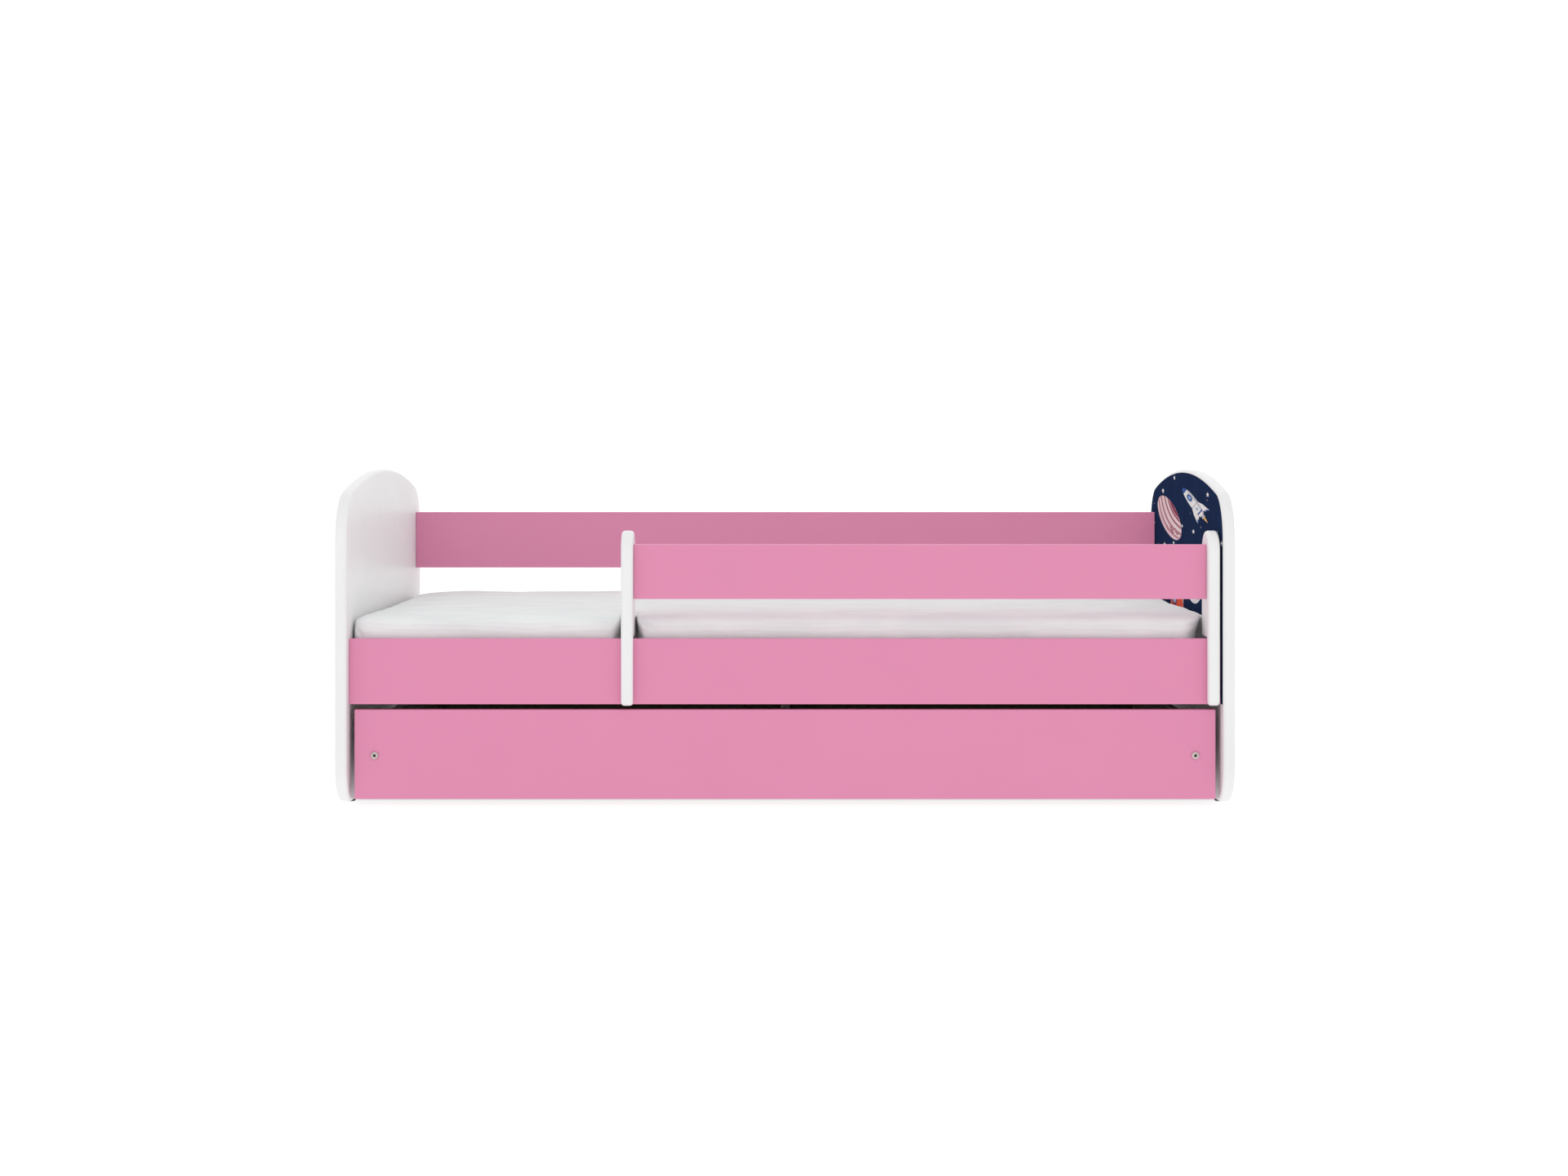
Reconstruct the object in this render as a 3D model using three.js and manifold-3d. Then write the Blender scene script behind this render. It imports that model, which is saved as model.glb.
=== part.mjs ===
// Toddler bed with two arched end panels, a fixed guard rail, a slatted base, a mattress
// and a wide under-bed drawer that rolls out on four fixed castors.
// Millimetres, +Z up. X runs along the bed, the front faces -Y and the floor is Z = 0.

import * as THREE from "three";
import { mergeVertices } from "three/addons/utils/BufferGeometryUtils.js";
import Module from "manifold-3d";

const wasm = await Module();
wasm.setup();

// Overall size
const INNER_LENGTH = 1600;
const DEPTH = 880;
const HEIGHT = 615;
const FRONT = -DEPTH / 2;
const END = INNER_LENGTH / 2;
const FIT_GAP = 0.3;

// End panels: rounded feet, rounded shoulders and one shallow crown arc
const PANEL_THICKNESS = 22;
const PANEL_ROUNDOVER = 6;
const FOOT_RADIUS = 70;
const SHOULDER_RADIUS = 90;
const CROWN_RADIUS = 1825;
const PRINT_THICKNESS = 0.3;
const PRINT_BOTTOM = 188;
const GLIDE_HEIGHT = 3;
const GLIDE_RADIUS = 11;
const GLIDE_FROM_EDGE = 95;

// Laminated boards
const BOARD_THICKNESS = 18;
const BOARD_EDGE = 0.8;
const BOARD_HEIGHT = 120;
const SIDE_BOARD_Z = 187;
const SIDE_BOARD_SETBACK = 25;
const REAR_BOARD_SETBACK = 848;
const TOP_RAIL_Z = 400;
const TOP_RAIL_SETBACK = 816;

// Guard rail
const GUARD_Z = 380;
const GUARD_HEIGHT = 100;
const POST_THICKNESS = 22;
const POST_INNER_X = [-278, 773.5];
const POST_FRONT = 5;
const POST_BACK = 80;
const POST_BOTTOM = 185.5;
const POST_TOP = 505;
const POST_HEEL_RADIUS = 8;
const GUARD_SCREW_Z = 265;

// Slatted base
const LEDGER = { width: 25, height: 30, z: 198 };
const SLAT = { count: 10, width: 70, thickness: 18, clearance: 3 };

// Mattress
const MATTRESS = { length: 1590, width: 800, top: 348, corner: 60, edge: 22 };
const MATTRESS_POST_CORNER = 116;
const DENT = { halfMouth: 62, halfFloor: 17, clearance: 6 };

// Drawer
const DRAWER_FRONT = { halfWidth: 790, z: 13, height: 164 };
const DRAWER_BOARD = 16;
const DRAWER_SIDE_X = 753;
const DRAWER_LENGTH = 740;
const DRAWER_HEIGHT = 110;
const DRAWER_FLOOR = 3;
const DRAWER_FLOOR_Z = 41;
const DRAWER_BOLT_Z = 93;

// Castors
const WHEEL = { radius: 18, width: 14, bore: 2.8, hub: 6, rim: 13, web: 5 };
const WEB_HOLE = { radius: 2.2, count: 5 };
const AXLE_RADIUS = 2.5;
const AXLE_HEAD = { radius: 4, thickness: 1.2 };
const CHEEK = { thickness: 2.5, gap: 1, radius: 8, topHalf: 15 };
const CASTOR_PLATE = { length: 60, width: 34, thickness: 2.2 };
const CASTOR_INSET = 80;

// Steps round a drawn circle
const ROUND_STEPS = { shaft: 12, disc: 20, wheel: 24, hole: 8 };
const ROUNDED = { bevel: 2, curve: 5 };

// Furniture bolts and screws
const BOLT = { headRadius: 7, head: 2.4, radius: 3, grip: 38, hex: 4, hexDepth: 1.8 };
const PANEL_BOLT_SPACING = 64;
const SCREW = { headRadius: 4.4, head: 2.6, radius: 2, length: 32 };

const X_AXIS = new THREE.Vector3(1, 0, 0);
const Y_AXIS = new THREE.Vector3(0, 1, 0);
const Z_AXIS = new THREE.Vector3(0, 0, 1);
const AXES = [X_AXIS, Y_AXIS, Z_AXIS];

const FINISH = {
  pink: new THREE.MeshStandardMaterial({ color: 0xe090b1, roughness: 0.45, metalness: 0 }),
  white: new THREE.MeshStandardMaterial({ color: 0xeeeeee, roughness: 0.4, metalness: 0 }),
  print: new THREE.MeshStandardMaterial({ color: 0x202e4d, roughness: 0.4, metalness: 0 }),
  pine: new THREE.MeshStandardMaterial({ color: 0xd9b787, roughness: 0.7, metalness: 0 }),
  carcass: new THREE.MeshStandardMaterial({ color: 0xe9e9e7, roughness: 0.55, metalness: 0 }),
  hardboard: new THREE.MeshStandardMaterial({ color: 0xe4e2dd, roughness: 0.6, metalness: 0 }),
  nickel: new THREE.MeshStandardMaterial({ color: 0xb9aeae, roughness: 0.3, metalness: 1 }),
  steel: new THREE.MeshStandardMaterial({ color: 0x9a9a98, roughness: 0.35, metalness: 1 }),
  plastic: new THREE.MeshStandardMaterial({ color: 0x1d1d1f, roughness: 0.5, metalness: 0 }),
  wheel: new THREE.MeshStandardMaterial({ color: 0x5b5d60, roughness: 0.55, metalness: 0 }),
  cover: new THREE.MeshStandardMaterial({ color: 0xededee, roughness: 0.95, metalness: 0 }),
};

const bed = new THREE.Group();

function add(name, geometry, material) {
  const mesh = new THREE.Mesh(geometry, material);
  mesh.name = name;
  bed.add(mesh);
  return mesh;
}

// ---- solids ----

function solidOf(geometry) {
  const bare = geometry.clone();
  bare.deleteAttribute("normal");
  bare.deleteAttribute("uv");
  const merged = mergeVertices(bare, 1e-4);
  const mesh = new wasm.Mesh({
    numProp: 3,
    vertProperties: merged.attributes.position.array,
    triVerts: Uint32Array.from(merged.index.array),
  });
  return new wasm.Manifold(mesh);
}

function geometryOf(solid) {
  const mesh = solid.getMesh();
  const geometry = new THREE.BufferGeometry();
  geometry.setAttribute("position", new THREE.BufferAttribute(mesh.vertProperties, 3));
  geometry.setIndex(new THREE.BufferAttribute(mesh.triVerts, 1));
  return geometry;
}

function cut(geometry, tools) {
  let solid = solidOf(geometry);
  for (const tool of tools) {
    solid = solid.subtract(solidOf(tool));
  }
  return geometryOf(solid);
}

// Extrude an outline along one row axis: the outline's x and y lie along the next two axes
// in X, Y, Z order. Both faces have their edges eased inwards by `edge`.
function extrudeAlong(axis, outline, start, thickness, edge, steps = {}) {
  const geometry = new THREE.ExtrudeGeometry(outline, {
    depth: thickness - 2 * edge,
    bevelEnabled: edge > 0,
    bevelThickness: edge,
    bevelSize: edge,
    bevelOffset: -edge,
    bevelSegments: steps.bevel ?? 1,
    curveSegments: steps.curve ?? 5,
  });
  geometry.translate(0, 0, start + edge);
  const basis = new THREE.Matrix4();
  basis.makeBasis(AXES[(axis + 1) % 3], AXES[(axis + 2) % 3], AXES[axis]);
  return geometry.applyMatrix4(basis);
}

// A board between two opposite corners, extruded along its thinnest direction.
function board(low, high, edge = BOARD_EDGE) {
  const size = high.map((value, axis) => value - low[axis]);
  const axis = size.indexOf(Math.min(...size));
  const [u, v] = [(axis + 1) % 3, (axis + 2) % 3];
  const outline = new THREE.Shape();
  outline.moveTo(low[u], low[v]);
  outline.lineTo(high[u], low[v]);
  outline.lineTo(high[u], high[v]);
  outline.lineTo(low[u], high[v]);
  outline.closePath();
  return extrudeAlong(axis, outline, low[axis], size[axis], edge);
}

// A cylinder between two places along X or Y, used as a drill. `other` is where its axis
// lies along the remaining level axis.
function drill(axis, radius, from, to, other, z) {
  const geometry = new THREE.CylinderGeometry(radius, radius, to - from, ROUND_STEPS.shaft);
  if (axis === "x") {
    geometry.rotateZ(-Math.PI / 2);
    return geometry.translate((from + to) / 2, other, z);
  }
  return geometry.translate(other, (from + to) / 2, z);
}

// ---- fasteners ----

// Flat-headed bolt with a hexagon socket. Its head's outer face is at the origin and its
// shank runs along +Y.
function boltGeometry() {
  const profile = [
    new THREE.Vector2(0, 0),
    new THREE.Vector2(BOLT.headRadius - 0.8, 0),
    new THREE.Vector2(BOLT.headRadius, 0.8),
    new THREE.Vector2(BOLT.headRadius, BOLT.head),
    new THREE.Vector2(BOLT.radius, BOLT.head),
    new THREE.Vector2(BOLT.radius, BOLT.head + BOLT.grip),
    new THREE.Vector2(0, BOLT.head + BOLT.grip),
  ];
  const body = new THREE.LatheGeometry(profile, ROUND_STEPS.shaft);
  const corner = BOLT.hex / Math.sqrt(3);
  const socket = new THREE.CylinderGeometry(corner, corner, 2 * BOLT.hexDepth, 6);
  return cut(body, [socket]);
}

function screwGeometry() {
  const profile = [
    new THREE.Vector2(0, 0),
    new THREE.Vector2(SCREW.headRadius, 0),
    new THREE.Vector2(SCREW.radius, SCREW.head),
    new THREE.Vector2(SCREW.radius, SCREW.length - 2 * SCREW.radius),
    new THREE.Vector2(0, SCREW.length),
  ];
  return new THREE.LatheGeometry(profile, ROUND_STEPS.shaft);
}

// The bolts that join the boards to the panels: two at each board's end, one above the
// other, with their heads sunk flush in the panels' outer faces.
const BOARD_ENDS = [
  { name: "front_board", y: FRONT + SIDE_BOARD_SETBACK + BOARD_THICKNESS / 2, z: SIDE_BOARD_Z },
  { name: "rear_board", y: FRONT + REAR_BOARD_SETBACK + BOARD_THICKNESS / 2, z: SIDE_BOARD_Z },
  { name: "top_rail", y: FRONT + TOP_RAIL_SETBACK + BOARD_THICKNESS / 2, z: TOP_RAIL_Z },
];

function boltHeights(boardEnd) {
  const middle = boardEnd.z + BOARD_HEIGHT / 2;
  return [middle - PANEL_BOLT_SPACING / 2, middle + PANEL_BOLT_SPACING / 2];
}

// Holes for one end's bolts, through the panel and on into the boards. side is -1 or 1.
function boltHoles(side) {
  const outer = END + PANEL_THICKNESS;
  const tip = outer - BOLT.head - BOLT.grip - 2;
  const holes = [];
  for (const boardEnd of BOARD_ENDS) {
    for (const z of boltHeights(boardEnd)) {
      const spans = [
        [BOLT.radius + FIT_GAP, tip, outer + 1],
        [BOLT.headRadius + FIT_GAP, outer - BOLT.head - FIT_GAP, outer + 1],
      ];
      for (const [radius, near, far] of spans) {
        const from = Math.min(side * near, side * far);
        const to = Math.max(side * near, side * far);
        holes.push(drill("x", radius, from, to, boardEnd.y, z));
      }
    }
  }
  return holes;
}

const LEFT_HOLES = boltHoles(-1);
const RIGHT_HOLES = boltHoles(1);

function addPanelBolts() {
  const labels = ["lower", "upper"];
  for (const [side, sideName] of [[-1, "left"], [1, "right"]]) {
    for (const boardEnd of BOARD_ENDS) {
      boltHeights(boardEnd).forEach((z, index) => {
        const name = `${boardEnd.name}_bolt_${sideName}_${labels[index]}`;
        const bolt = add(name, boltGeometry(), FINISH.nickel);
        bolt.rotation.z = side * Math.PI / 2;
        bolt.position.set(side * (END + PANEL_THICKNESS), boardEnd.y, z);
      });
    }
  }
}

// ---- end panels ----

// Both shoulders and the crown, y across and z up, shrunk inwards by `inset`.
function traceTop(outline, inset) {
  const crownZ = HEIGHT - CROWN_RADIUS;
  const shoulderY = DEPTH / 2 - SHOULDER_RADIUS;
  const centreDistance = CROWN_RADIUS - SHOULDER_RADIUS;
  const shoulderZ = crownZ + Math.sqrt(centreDistance ** 2 - shoulderY ** 2);
  const tangent = Math.acos(shoulderY / centreDistance);
  outline.absarc(shoulderY, shoulderZ, SHOULDER_RADIUS - inset, 0, tangent);
  outline.absarc(0, crownZ, CROWN_RADIUS - inset, tangent, Math.PI - tangent);
  outline.absarc(-shoulderY, shoulderZ, SHOULDER_RADIUS - inset, Math.PI - tangent, Math.PI);
}

// The panel seen from the side.
function panelOutline() {
  const footY = DEPTH / 2 - FOOT_RADIUS;
  const footZ = GLIDE_HEIGHT + FIT_GAP + FOOT_RADIUS;
  const outline = new THREE.Shape();
  outline.absarc(footY, footZ, FOOT_RADIUS, -Math.PI / 2, 0);
  traceTop(outline, 0);
  outline.absarc(-footY, footZ, FOOT_RADIUS, Math.PI, Math.PI * 1.5);
  outline.closePath();
  return outline;
}

function addEndPanels() {
  const leftStart = -END - PANEL_THICKNESS;
  const outline = panelOutline();
  const left = extrudeAlong(0, outline, leftStart, PANEL_THICKNESS, PANEL_ROUNDOVER, ROUNDED);
  const right = extrudeAlong(0, outline, END, PANEL_THICKNESS, PANEL_ROUNDOVER, ROUNDED);
  add("left_end_panel", cut(left, LEFT_HOLES), FINISH.white);
  add("right_end_panel", cut(right, RIGHT_HOLES), FINISH.white);
}

// The decorated sheet on the right panel's inner face, inside the panel's roundover. It
// reaches down to the foot of the side boards.
const PRINT_X = END - FIT_GAP - PRINT_THICKNESS;

function addPanelPrint() {
  const half = DEPTH / 2 - PANEL_ROUNDOVER;
  const outline = new THREE.Shape();
  outline.moveTo(half, PRINT_BOTTOM);
  traceTop(outline, PANEL_ROUNDOVER);
  outline.lineTo(-half, PRINT_BOTTOM);
  outline.closePath();
  const sheet = extrudeAlong(0, outline, PRINT_X, PRINT_THICKNESS, 0);
  add("panel_print_sheet", cut(sheet, RIGHT_HOLES), FINISH.print);
}

function addGlides() {
  const rows = [["front", -1], ["rear", 1]];
  const columns = [["left", -1], ["right", 1]];
  for (const [rowName, row] of rows) {
    for (const [columnName, column] of columns) {
      const disc = new THREE.CylinderGeometry(
        GLIDE_RADIUS, GLIDE_RADIUS - 1, GLIDE_HEIGHT, ROUND_STEPS.disc
      );
      disc.rotateX(Math.PI / 2);
      const glide = add(`glide_${rowName}_${columnName}`, disc, FINISH.plastic);
      const y = row * (DEPTH / 2 - GLIDE_FROM_EDGE);
      glide.position.set(column * (END + PANEL_THICKNESS / 2), y, GLIDE_HEIGHT / 2);
    }
  }
}

// ---- long boards between the panels ----

const LEFT_END_X = -END + FIT_GAP;
const RIGHT_END_X = PRINT_X - FIT_GAP;
const SIDE_BOARD_Y = FRONT + SIDE_BOARD_SETBACK;
const REAR_BOARD_Y = FRONT + REAR_BOARD_SETBACK;
const TOP_RAIL_Y = FRONT + TOP_RAIL_SETBACK;
const GUARD_SCREW_X = POST_INNER_X.map((x, index) => x + (index ? 1 : -1) * POST_THICKNESS / 2);

function longBoard(y, z) {
  const low = [LEFT_END_X, y, z];
  const high = [RIGHT_END_X, y + BOARD_THICKNESS, z + BOARD_HEIGHT];
  return board(low, high);
}

function guardScrewHoles(radius, from, to) {
  return GUARD_SCREW_X.map((x) => drill("y", radius, from, to, x, GUARD_SCREW_Z));
}

function addLongBoards() {
  const inner = SIDE_BOARD_Y + BOARD_THICKNESS;
  const ends = [...LEFT_HOLES, ...RIGHT_HOLES];
  const frontHoles = [
    ...guardScrewHoles(SCREW.radius + FIT_GAP, SIDE_BOARD_Y - 1, inner + 1),
    ...guardScrewHoles(SCREW.headRadius + FIT_GAP, inner - SCREW.head - FIT_GAP, inner + 1),
  ];
  const front = cut(longBoard(SIDE_BOARD_Y, SIDE_BOARD_Z), [...ends, ...frontHoles]);
  add("front_side_board", front, FINISH.pink);
  add("rear_side_board", cut(longBoard(REAR_BOARD_Y, SIDE_BOARD_Z), ends), FINISH.pink);
  add("rear_top_rail", cut(longBoard(TOP_RAIL_Y, TOP_RAIL_Z), ends), FINISH.pink);
}

// ---- guard rail ----

// A post seen from the side: a slim leg in front of the side board, and above the board a
// wider blade with a round top and a rounded heel.
function postOutline() {
  const front = FRONT + POST_FRONT;
  const back = FRONT + POST_BACK;
  const legBack = SIDE_BOARD_Y - FIT_GAP;
  const legRadius = (legBack - front) / 2;
  const topRadius = (back - front) / 2;
  const heelZ = SIDE_BOARD_Z + BOARD_HEIGHT + FIT_GAP;
  const outline = new THREE.Shape();
  const legY = front + legRadius;
  outline.absarc(legY, POST_BOTTOM + legRadius, legRadius, -Math.PI, 0);
  outline.lineTo(legBack, heelZ);
  const heelY = back - POST_HEEL_RADIUS;
  outline.absarc(heelY, heelZ + POST_HEEL_RADIUS, POST_HEEL_RADIUS, -Math.PI / 2, 0);
  outline.absarc(front + topRadius, POST_TOP - topRadius, topRadius, 0, Math.PI);
  outline.closePath();
  return outline;
}

function addGuard() {
  const names = ["guard_post_left", "guard_post_right"];
  const outline = postOutline();
  const legBack = SIDE_BOARD_Y - FIT_GAP;
  names.forEach((name, index) => {
    const start = POST_INNER_X[index] - (index ? 0 : POST_THICKNESS);
    const post = extrudeAlong(0, outline, start, POST_THICKNESS, PANEL_ROUNDOVER, ROUNDED);
    const tip = SIDE_BOARD_Y + BOARD_THICKNESS - SCREW.length - 1;
    const holes = guardScrewHoles(SCREW.radius + FIT_GAP, tip, legBack + 1);
    add(name, cut(post, [holes[index]]), FINISH.white);

    const screw = add(`guard_screw_${index ? "right" : "left"}`, screwGeometry(), FINISH.steel);
    screw.rotation.z = Math.PI;
    screw.position.set(GUARD_SCREW_X[index], SIDE_BOARD_Y + BOARD_THICKNESS, GUARD_SCREW_Z);
  });
  const low = [POST_INNER_X[0] + FIT_GAP, SIDE_BOARD_Y, GUARD_Z];
  const high = [POST_INNER_X[1] - FIT_GAP, SIDE_BOARD_Y + BOARD_THICKNESS, GUARD_Z + GUARD_HEIGHT];
  add("guard_board", board(low, high), FINISH.pink);
}

// ---- slatted base ----

const LEDGER_TOP = LEDGER.z + LEDGER.height;
const INNER_FRONT_Y = SIDE_BOARD_Y + BOARD_THICKNESS;

function addSlattedBase() {
  const ledgerX = END - 40;
  const rows = [
    ["front", INNER_FRONT_Y + FIT_GAP],
    ["rear", REAR_BOARD_Y - FIT_GAP - LEDGER.width],
  ];
  for (const [rowName, y] of rows) {
    const low = [-ledgerX, y, LEDGER.z];
    const high = [ledgerX, y + LEDGER.width, LEDGER_TOP];
    add(`${rowName}_ledger`, board(low, high), FINISH.pine);
  }
  const pitch = INNER_LENGTH / SLAT.count;
  for (let index = 0; index < SLAT.count; index += 1) {
    const x = -END + (index + 0.5) * pitch;
    const z = LEDGER_TOP + FIT_GAP;
    const low = [x - SLAT.width / 2, INNER_FRONT_Y + SLAT.clearance, z];
    const high = [x + SLAT.width / 2, REAR_BOARD_Y - SLAT.clearance, z + SLAT.thickness];
    const name = `slat_${String(index + 1).padStart(2, "0")}`;
    add(name, board(low, high, 1.5), FINISH.pine);
  }
}

// ---- mattress ----

// Plan of the mattress: round corners, a hollow where the left post presses in and a larger
// front right corner that clears the right post.
function mattressOutline() {
  const x = MATTRESS.length / 2;
  const front = INNER_FRONT_Y + 1;
  const back = front + MATTRESS.width;
  const corner = MATTRESS.corner;
  const big = MATTRESS_POST_CORNER;
  const dentX = POST_INNER_X[0] - POST_THICKNESS / 2;
  const dentY = FRONT + POST_BACK + DENT.clearance;
  const shoulder = (DENT.halfMouth + DENT.halfFloor) / 2;
  const outline = new THREE.Shape();
  outline.absarc(-x + corner, front + corner, corner, Math.PI, Math.PI * 1.5);
  outline.lineTo(dentX - DENT.halfMouth, front);
  outline.bezierCurveTo(
    dentX - shoulder, front, dentX - shoulder, dentY, dentX - DENT.halfFloor, dentY
  );
  outline.lineTo(dentX + DENT.halfFloor, dentY);
  outline.bezierCurveTo(
    dentX + shoulder, dentY, dentX + shoulder, front, dentX + DENT.halfMouth, front
  );
  outline.absarc(x - big, front + big, big, -Math.PI / 2, 0);
  outline.absarc(x - corner, back - corner, corner, 0, Math.PI / 2);
  outline.absarc(-x + corner, back - corner, corner, Math.PI / 2, Math.PI);
  outline.closePath();
  return outline;
}

function addMattress() {
  const bottom = LEDGER_TOP + FIT_GAP + SLAT.thickness + FIT_GAP;
  const thickness = MATTRESS.top - bottom;
  const steps = { bevel: 3, curve: 4 };
  const slab = extrudeAlong(2, mattressOutline(), bottom, thickness, MATTRESS.edge, steps);
  add("mattress", slab, FINISH.cover);
}

// ---- drawer ----

const DRAWER_INSIDE_Y = SIDE_BOARD_Y + BOARD_THICKNESS + FIT_GAP;
const DRAWER_BACK_Y = DRAWER_INSIDE_Y + DRAWER_LENGTH;
const DRAWER_WALL_Z = DRAWER_FLOOR_Z + DRAWER_FLOOR + FIT_GAP;
const DRAWER_HALF = DRAWER_BOARD / 2;

function addDrawerBox() {
  const front = board(
    [-DRAWER_FRONT.halfWidth, SIDE_BOARD_Y, DRAWER_FRONT.z],
    [DRAWER_FRONT.halfWidth, INNER_FRONT_Y, DRAWER_FRONT.z + DRAWER_FRONT.height]
  );
  const tip = SIDE_BOARD_Y + BOLT.grip + 2;
  const holes = [-DRAWER_SIDE_X, DRAWER_SIDE_X].map((x) =>
    drill("y", BOLT.radius + FIT_GAP, SIDE_BOARD_Y - 1, tip, x, DRAWER_BOLT_Z)
  );
  add("drawer_front", cut(front, holes), FINISH.pink);

  const wallTop = DRAWER_WALL_Z + DRAWER_HEIGHT;
  [["left", -DRAWER_SIDE_X], ["right", DRAWER_SIDE_X]].forEach(([sideName, x], index) => {
    const low = [x - DRAWER_HALF, DRAWER_INSIDE_Y, DRAWER_WALL_Z];
    const side = board(low, [x + DRAWER_HALF, DRAWER_BACK_Y, wallTop]);
    add(`drawer_${sideName}_side`, cut(side, [holes[index]]), FINISH.carcass);
    const bolt = add(`drawer_bolt_${sideName}`, boltGeometry(), FINISH.nickel);
    bolt.position.set(x, SIDE_BOARD_Y - BOLT.head - FIT_GAP, DRAWER_BOLT_Z);
  });

  const backX = DRAWER_SIDE_X - DRAWER_HALF - FIT_GAP;
  const backY = DRAWER_BACK_Y - DRAWER_BOARD;
  const back = board([-backX, backY, DRAWER_WALL_Z], [backX, DRAWER_BACK_Y, wallTop]);
  add("drawer_back", back, FINISH.carcass);
  const divider = board(
    [-DRAWER_HALF, DRAWER_INSIDE_Y, DRAWER_WALL_Z],
    [DRAWER_HALF, backY - FIT_GAP, wallTop]
  );
  add("drawer_divider", divider, FINISH.carcass);
  const floorX = DRAWER_SIDE_X + DRAWER_HALF;
  const floor = board(
    [-floorX, DRAWER_INSIDE_Y, DRAWER_FLOOR_Z],
    [floorX, DRAWER_BACK_Y, DRAWER_FLOOR_Z + DRAWER_FLOOR],
    0
  );
  add("drawer_floor", floor, FINISH.hardboard);
}

// ---- castors ----

// Castor shapes are drawn with the axle along X through the origin.
const CASTOR_TOP = DRAWER_FLOOR_Z - FIT_GAP - WHEEL.radius;
const CHEEK_INSIDE = WHEEL.width / 2 + CHEEK.gap;

// Pressed fork: a top plate with two tapering cheeks that hold the axle.
function forkGeometry() {
  const plateZ = CASTOR_TOP - CASTOR_PLATE.thickness;
  const halfWidth = CASTOR_PLATE.width / 2;
  const halfLength = CASTOR_PLATE.length / 2;
  let fork = solidOf(
    board([-halfWidth, -halfLength, plateZ], [halfWidth, halfLength, CASTOR_TOP], 0.4)
  );
  const cheek = new THREE.Shape();
  cheek.absarc(0, 0, CHEEK.radius, -Math.PI, 0);
  cheek.lineTo(CHEEK.topHalf, plateZ + 1);
  cheek.lineTo(-CHEEK.topHalf, plateZ + 1);
  cheek.closePath();
  for (const start of [-CHEEK_INSIDE - CHEEK.thickness, CHEEK_INSIDE]) {
    fork = fork.add(solidOf(extrudeAlong(0, cheek, start, CHEEK.thickness, 0)));
  }
  const bore = drill("x", AXLE_RADIUS + FIT_GAP, -halfWidth, halfWidth, 0, 0);
  return geometryOf(fork.subtract(solidOf(bore)));
}

function axleGeometry() {
  const head = CHEEK_INSIDE + CHEEK.thickness + FIT_GAP;
  const end = head + AXLE_HEAD.thickness;
  const profile = [
    new THREE.Vector2(0, -end),
    new THREE.Vector2(AXLE_HEAD.radius, -end),
    new THREE.Vector2(AXLE_HEAD.radius, -head),
    new THREE.Vector2(AXLE_RADIUS, -head),
    new THREE.Vector2(AXLE_RADIUS, head),
    new THREE.Vector2(AXLE_HEAD.radius, head),
    new THREE.Vector2(AXLE_HEAD.radius, end),
    new THREE.Vector2(0, end),
  ];
  return new THREE.LatheGeometry(profile, ROUND_STEPS.shaft).rotateZ(-Math.PI / 2);
}

// Wheel with a thin web between its hub and its rim, and round holes through the web.
function wheelGeometry() {
  const half = WHEEL.width / 2;
  const web = WHEEL.web / 2;
  const profile = [
    new THREE.Vector2(WHEEL.bore, -half),
    new THREE.Vector2(WHEEL.hub, -half),
    new THREE.Vector2(WHEEL.hub, -web),
    new THREE.Vector2(WHEEL.rim, -web),
    new THREE.Vector2(WHEEL.rim, -half + 1),
    new THREE.Vector2(WHEEL.radius - 2, -half),
    new THREE.Vector2(WHEEL.radius, -half + 2.5),
    new THREE.Vector2(WHEEL.radius, half - 2.5),
    new THREE.Vector2(WHEEL.radius - 2, half),
    new THREE.Vector2(WHEEL.rim, half - 1),
    new THREE.Vector2(WHEEL.rim, web),
    new THREE.Vector2(WHEEL.hub, web),
    new THREE.Vector2(WHEEL.hub, half),
    new THREE.Vector2(WHEEL.bore, half),
    new THREE.Vector2(WHEEL.bore, -half),
  ];
  const body = new THREE.LatheGeometry(profile, ROUND_STEPS.wheel).rotateZ(-Math.PI / 2);
  const ring = (WHEEL.hub + WHEEL.rim) / 2;
  const holes = [];
  for (let index = 0; index < WEB_HOLE.count; index += 1) {
    const angle = (index / WEB_HOLE.count) * Math.PI * 2;
    const hole = new THREE.CylinderGeometry(
      WEB_HOLE.radius, WEB_HOLE.radius, WHEEL.width, ROUND_STEPS.hole
    );
    hole.rotateZ(Math.PI / 2);
    holes.push(hole.translate(0, ring * Math.cos(angle), ring * Math.sin(angle)));
  }
  return cut(body, holes);
}

function addCastors() {
  const rows = [
    ["front", DRAWER_INSIDE_Y + CASTOR_INSET],
    ["rear", DRAWER_BACK_Y - CASTOR_INSET],
  ];
  const columns = [["left", -DRAWER_SIDE_X], ["right", DRAWER_SIDE_X]];
  for (const [rowName, y] of rows) {
    for (const [columnName, x] of columns) {
      const place = `${rowName}_${columnName}`;
      const pieces = [
        [`castor_fork_${place}`, forkGeometry(), FINISH.steel],
        [`castor_axle_${place}`, axleGeometry(), FINISH.steel],
        [`castor_wheel_${place}`, wheelGeometry(), FINISH.wheel],
      ];
      for (const [name, geometry, material] of pieces) {
        add(name, geometry, material).position.set(x, y, WHEEL.radius);
      }
    }
  }
}

addEndPanels();
addPanelPrint();
addGlides();
addLongBoards();
addGuard();
addPanelBolts();
addSlattedBase();
addMattress();
addDrawerBox();
addCastors();

export default bed;
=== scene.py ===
"""Toddler bed: finished surfaces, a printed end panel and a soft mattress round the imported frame.

Metres, +Z up. X runs along the bed and the open front faces -Y.
"""
import math

import bmesh
import bpy
import numpy as np
from mathutils import Matrix, Vector, noise


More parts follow.
